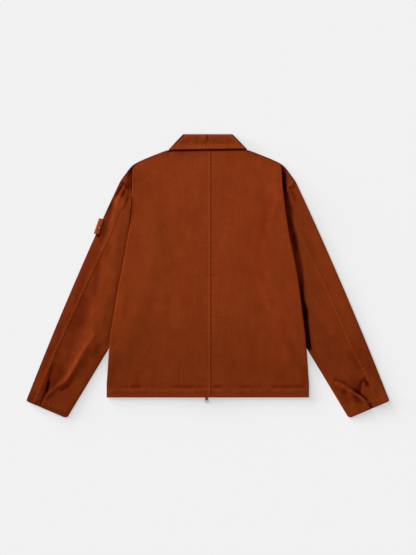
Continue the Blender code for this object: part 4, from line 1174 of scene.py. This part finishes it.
# painted shade over the whole leaf, stronger along its roll and on its turned sides
collar_tone = collar_tone + 0.13 + 0.45 * bell(from_roll, 1.8)
turn_tone = (0.75 + 0.6 * left_hand) * bell(side_edge - 0.5, 2.6)
turn_tone = turn_tone * np.maximum(on_back, left_hand * smooth((leaf[..., 2] - 1.5) / 2.0))
cloth("collar_leaf_cloth", "collar_leaf", leaf, (collar_tone - leaf_scuffed_and_lit) * on_back + turn_tone,
      ["collar_stand_cloth"], COLLAR_CLOTH)

neck = np.array(FRONT_NECK[::-1])
stand_line = neck + np.array([(-1.3, 0.8), (-1.1, 0.9), (-0.6, 1.1), (-0.2, 1.3), (6.0, 1.4)])
stand_line = np.vstack([[STAND_TURN[0] - 0.7, STAND_TURN[1] - 0.6], stand_line])
stand = collar_band(STAND_ROLL, STAND_TURN, BACK_NECK[0][1] + GAP, stand_line, STAND_Z, 0.9,
                    COLLAR_FRONT[0] + 2.0)
stand[..., 2] += -1.6 * smooth((stand[..., 1] - 374.0) / 14.0) * smooth((stand[..., 2] - 4.0) / 1.0)
cloth("collar_stand_cloth", "collar_stand", stand, np.zeros(stand.shape[:2]),
      ["back_cloth_left", "back_cloth_right"], COLLAR_CLOTH)


# ---- topstitching ----

def over(points, centre):
    """Height of a cloth grid under points of the plan: the highest of its four nearest points."""
    flat = centre.reshape(-1, 3)
    found = np.empty(len(points))
    for start in range(0, len(points), 256):
        part = points[start:start + 256]
        gap = ((part[:, None] - flat[None, :, :2]) ** 2).sum(-1)
        near = np.argpartition(gap, 4, axis=1)[:, :4]
        found[start:start + 256] = np.take(flat[:, 2], near).max(1)
    return found


def sewn(name, line, cloth, thickness):
    """Topstitching laid on a cloth grid along a line of the plan."""
    length = run_along(line)
    places = read_along(np.arange(0, length[-1], STITCH_PITCH / 2), length, line)
    stitches(name, np.column_stack([places, over(places, cloth) + thickness / 2]))


back_tops = {side: grid[:, :BACK_GRID[1]] for side, grid in backs.items()}
for side, where in SIDE_NAMES.items():
    out_x = np.linspace(CENTRE_SEAM_X + side * 0.4, side * 274.0, 120)
    sewn(f"hem_stitch_{where}", np.stack([out_x, HEM_STITCH + 0 * out_x], -1), back_tops[side], CLOTH)
centre_y = np.linspace(HEM_Y + 3, 350.0, 120)
for number, offset in enumerate(CENTRE_STITCHES):
    sewn(f"centre_seam_stitch_{number}", np.stack([CENTRE_SEAM_X + offset + 0 * centre_y, centre_y], -1),
         back_tops[-1], CLOTH)

for side, where in SIDE_NAMES.items():
    for number, offset in enumerate(ARM_STITCHES):
        share = np.linspace(0.04, 0.965, 260)
        reach = sleeve_reach(share)
        width = ridge_share(side, share) + offset / reach
        plan, height, _painted_tone = sleeve_up(side, share, width)
        keep = plan[:, 0] > fold_out(side, plan[:, 1]) + 1.0
        path = np.column_stack([side * plan[:, 0], plan[:, 1], height + CLOTH / 2])
        stitches(f"arm_seam_stitch_{where}_{number}", path[keep])
    width = np.linspace(0.03, 0.97, 90)
    plan, height, _painted_tone = sleeve_up(side, 1 - CUFF_DEPTH / CUFF_RUN + 0 * width, width)
    stitches(f"cuff_stitch_{where}", np.column_stack([side * plan[:, 0], plan[:, 1], height + CLOTH / 2]))

slope = (np.array(COLLAR_TURN) - COLLAR_ROLL) / COLLAR_SLANT
low_corner = np.array((COLLAR_TURN[0] - COLLAR_INSET * 1.9, COLLAR_FALL_Y + COLLAR_INSET))
high_corner = low_corner - slope * 40.0
corners = np.array((high_corner, low_corner))
leaf_path = np.concatenate([corners * (-1, 1), corners[::-1]])
sewn("collar_stitch", leaf_path, leaf[30:-30], COLLAR_CLOTH)


# ---- zip ----

def zip_tape(side):
    """Woven tape behind a front's edge: rows along the zip, columns across, at the fronts' own height."""
    y = np.linspace(HEM_Y + 1.5, 264.0, TAPE_GRID[0])[:, None]
    across = np.linspace(0.9, TAPE_WIDTH, TAPE_GRID[1])[None, :]
    out_x = ZIP_X + side * across + 0 * y
    height = front_z(1, out_x, y + 0 * across).max(1, keepdims=True) + LAYER + 0 * out_x
    return np.stack([out_x, y + 0 * across, height], -1)


def zip_teeth(side):
    """Teeth of one side: each a small rounded block at the tape's edge, joined into one mesh."""
    pitch, length, width, tall = 2.6, 1.5, 2.2, 1.9
    y = np.arange(HEM_Y + 10.0, 251.0, pitch) + (0.0 if side < 0 else pitch / 2)
    height = front_z(1, ZIP_X + side * 3.0 + 0 * y, y) + LAYER
    corner = np.array([(a, b, c) for c in (-1, 1) for b in (-1, 1) for a in (-1, 1)], float) * 0.5
    size = np.array((width, length, tall))
    inner = corner * size * np.array((1.0, 0.7, 0.7))
    outer = corner * size * np.array((0.8, 1.0, 1.0))
    body = np.concatenate([inner, outer])
    centre = np.stack([ZIP_X + side * 0.75 + 0 * y, y, height], -1)
    points = (centre[:, None] + body[None]).reshape(-1, 3)
    box_faces = np.array([[0, 2, 3, 1], [4, 5, 7, 6], [0, 1, 5, 4],
                          [2, 6, 7, 3], [0, 4, 6, 2], [1, 3, 7, 5]])
    one = np.concatenate([box_faces, box_faces + 8])
    teeth = join_grid(f"zip_teeth_{SIDE_NAMES[side]}", points, repeated(one, len(body), len(y)))
    dress(teeth, slider_metal)


for side, where in SIDE_NAMES.items():
    cloth(f"zip_tape_cloth_{where}", f"zip_tape_{where}", zip_tape(side), np.zeros(TAPE_GRID),
          [f"front_cloth_{where}"], TAPE_CLOTH, tape_cloth, "tape")
    zip_teeth(side)


def ring(name, pivot, body, node):
    """Zip ring: a rounded section, thin where it turns in the bridge and full elsewhere, swept round."""
    around = np.linspace(0, 2 * np.pi, RING_GRID[0], endpoint=False)[:, None]
    corner = np.linspace(0, 2 * np.pi, RING_GRID[1], endpoint=False)[None, :]
    wide = RING_WIDE[0] + RING_WIDE[1] * smooth((1 - np.cos(around)) * 0.8)
    reach = RING_RADIUS + wide * np.cos(corner)
    thick = RING_THICK * np.sign(np.sin(corner)) * np.abs(np.sin(corner)) ** 0.8
    points = np.stack([pivot[0] + reach * np.sin(around), pivot[1] - RING_RADIUS + reach * np.cos(around),
                       pivot[2] + thick + 0 * around], -1).reshape(-1, 3)
    index = np.arange(len(points)).reshape(RING_GRID)
    above, beside = np.roll(index, -1, 1), np.roll(index, -1, 0)
    faces = np.stack([index, above, np.roll(above, -1, 0), beside], -1).reshape(-1, 4)[:, ::-1]
    dress(join_grid(name, points, faces), ring_metal, node, body)


ring("ring_lower", LOWER_PIVOT, "lower_pull", "zip_pull_lower")
ring("ring_upper", UPPER_PIVOT, "upper_pull", "zip_pull_upper")
for node in ("zip_slider_lower", "zip_slider_upper"):
    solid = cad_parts[node]
    solid.data.materials.clear()
    solid.data.materials.append(slider_metal)


# ---- sleeve tab ----

def tab_grid():
    """Strip round the left sleeve's outer edge: flat over the back, a round end proud of the edge, and
    flat again under the front."""
    share = np.linspace(*TAB_SPAN, 30)[:, None]
    reach = sleeve_reach(share[:, 0])[:, None]
    edge = sleeve_plan(share[:, 0], 0 * share[:, 0])
    inward = sleeve_plan(share[:, 0], 0.06 + 0 * share[:, 0]) - edge
    inward /= np.linalg.norm(inward, axis=1, keepdims=True)
    back = np.interp(share, TAB_SPAN, TAB_BACK)
    proud = np.interp(share, TAB_SPAN, TAB_PROUD) - TAB_CLOTH / 2
    _plan, under, _tone = sleeve_up(-1, share + 0 * back, np.linspace(0, 1, 6)[None, :] * back / reach)
    top = under.max() + CLOTH / 2 + TAB_RISE + TAB_CLOTH / 2
    low = TAB_CLOTH / 2
    round_end = (top - low) / 2
    turn = np.pi * np.linspace(0, 1, 13)[None, :]
    flat = back + (round_end - proud - back) * np.linspace(0, 1, 13)[None, :-1]
    bend = round_end * (1 - np.sin(turn)) - proud
    front = round_end - proud + (TAB_FRONT - round_end + proud) * np.linspace(0, 1, 20)[None, 1:]
    inwards = np.hstack([flat, bend, front])
    height = np.hstack([top + 0 * flat, low + round_end * (1 + np.cos(turn)) + 0 * bend, low + 0 * front])
    height = height - 0.5 * bell(inwards - back, 2.0) * (height > 2 * low + 1.0)
    plan = edge[:, None] + inward[:, None] * inwards[..., None]
    slant = -TAB_SKEW * np.clip(inwards, *TAB_SKEW_REACH)
    along = np.stack([-inward[:, 1], inward[:, 0]], -1)
    plan = plan + along[:, None] * slant[..., None]
    # painted shade on the round end and at the strip's ends; painted highlight along its back edge
    tone = 0.85 * smooth((2.0 - inwards - proud) / 3.0)
    tone[[0, 1, -2, -1], :] = np.maximum(tone[[0, 1, -2, -1], :], 0.25)
    tone[:, :2] = -0.7
    return np.stack([-plan[..., 0], plan[..., 1], height], -1), tone


tab, tab_tone = tab_grid()
cloth("sleeve_tab_cloth", "sleeve_tab", tab, tab_tone, ["upper_sleeve_cloth_left"], TAB_CLOTH, lit_tab_cotton)

button_centre = np.array(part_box("sleeve_button")).mean(0) / MM
button_centre[2] = tab[..., 2].max() + TAB_CLOTH / 2 + 1.0


def button():
    """Turned button: a profile with a raised rim and a dished middle, spun round its axis."""
    radius = np.array((0.0, 1.8, 2.8, 3.5, 4.1, 4.9, 5.4, 5.6, 5.4, 4.2, 2.4, 0.0))
    height = np.array((0.35, 0.35, 0.38, 0.55, 0.85, 0.95, 0.75, 0.25, -0.4, -0.9, -1.0, -1.0))
    around = np.linspace(0, 2 * np.pi, BUTTON_SPOKES, endpoint=False)[:, None]
    ring_radius, ring_height = radius[None, 1:-1], height[None, 1:-1]
    rings = np.stack([ring_radius * np.cos(around), ring_radius * np.sin(around),
                      ring_height + 0 * around], -1)
    poles = np.array([(0, 0, height[0]), (0, 0, height[-1])])
    points = np.concatenate([rings.reshape(-1, 3), poles])
    index = np.arange(len(points) - 2).reshape(rings.shape[:2])
    beside = np.roll(index, -1, 0)
    faces = np.stack([index[:, 1:], beside[:, 1:], beside[:, :-1], index[:, :-1]], -1).reshape(-1, 4)
    first, second, third = index[::2], index[1::2], np.roll(index[::2], -1, 0)
    pole = np.full(len(first), index.size)
    top_fan = np.stack([first[:, 0], second[:, 0], third[:, 0], pole], -1)
    low_fan = np.stack([third[:, -1], second[:, -1], first[:, -1], pole + 1], -1)
    pale = -smooth(3.9 - np.linalg.norm(points[:, :2], axis=1))
    piece = join_grid("button", points + button_centre, np.concatenate([faces, top_fan, low_fan]),
                      tone=pale)
    dress(piece, button_plastic, "sleeve_button")


button()


# ---- floor, light and camera ----

FLOOR_HALF = 6000.0
FLOOR_GREYS = ((0.6, 0.6, 0.6, 1), (0.602, 0.602, 0.602, 1))
FLOOR_GLOW = 0.27
SKY_GLOW = 0.18
SUNS = (                                # name, azimuth, elevation, strength, width of its disc
    ("low_key", 128, 7, 3.0, 11), ("low_side", 163, 5.5, 3.4, 11), ("key", 140, 22, 1.6, 24),
    ("top", 100, 86, 1.3, 60),
)
CAMERA_SPOT = (0.0004, -0.0036, 6.0)
VIEW_TALL = 1.526


def floor():
    """Pale even floor with a faint grain and a slight glow of its own."""
    made = Finish("pale_floor")
    grain = made.noise(made.place(), 40.0, 2.0)
    material = made.finish(made.mix(grain, *FLOOR_GREYS), 0.95, Emission_Color=(1.0, 1.0, 1.0, 1.0),
                           Emission_Strength=FLOOR_GLOW)
    points = np.array([(-1, -1, 0), (1, -1, 0), (1, 1, 0), (-1, 1, 0)]) * FLOOR_HALF
    plane = join_grid("floor", points, np.array([[0, 1, 2, 3]]))
    plane.data.materials.append(material)


def sun(name, azimuth, elevation, strength, angle):
    """Sun whose light comes from an azimuth (0 is +X, 90 is +Y) and an elevation, as a wide soft disc."""
    light = bpy.data.lights.new(name, "SUN")
    light.energy = strength
    light.angle = math.radians(angle)
    lamp = bpy.data.objects.new(name, light)
    bpy.context.collection.objects.link(lamp)
    lamp.rotation_euler = (math.radians(90 - elevation), 0, math.radians(azimuth + 90))


floor()
for row in SUNS:
    sun(*row)
world = bpy.data.worlds.new("studio")
bpy.context.scene.world = world
world.use_nodes = True
sky = world.node_tree.nodes["Background"].inputs
sky["Color"].default_value = (1, 1, 1, 1)
sky["Strength"].default_value = SKY_GLOW
bpy.context.scene.view_settings.view_transform = "Standard"

camera_data = bpy.data.cameras.new("camera")
camera_data.sensor_width = 36.0
camera_data.lens = camera_data.sensor_width * CAMERA_SPOT[2] / VIEW_TALL
camera_data.clip_end = 50.0
camera = bpy.data.objects.new("camera", camera_data)
camera.location = CAMERA_SPOT
bpy.context.collection.objects.link(camera)
bpy.context.scene.camera = camera
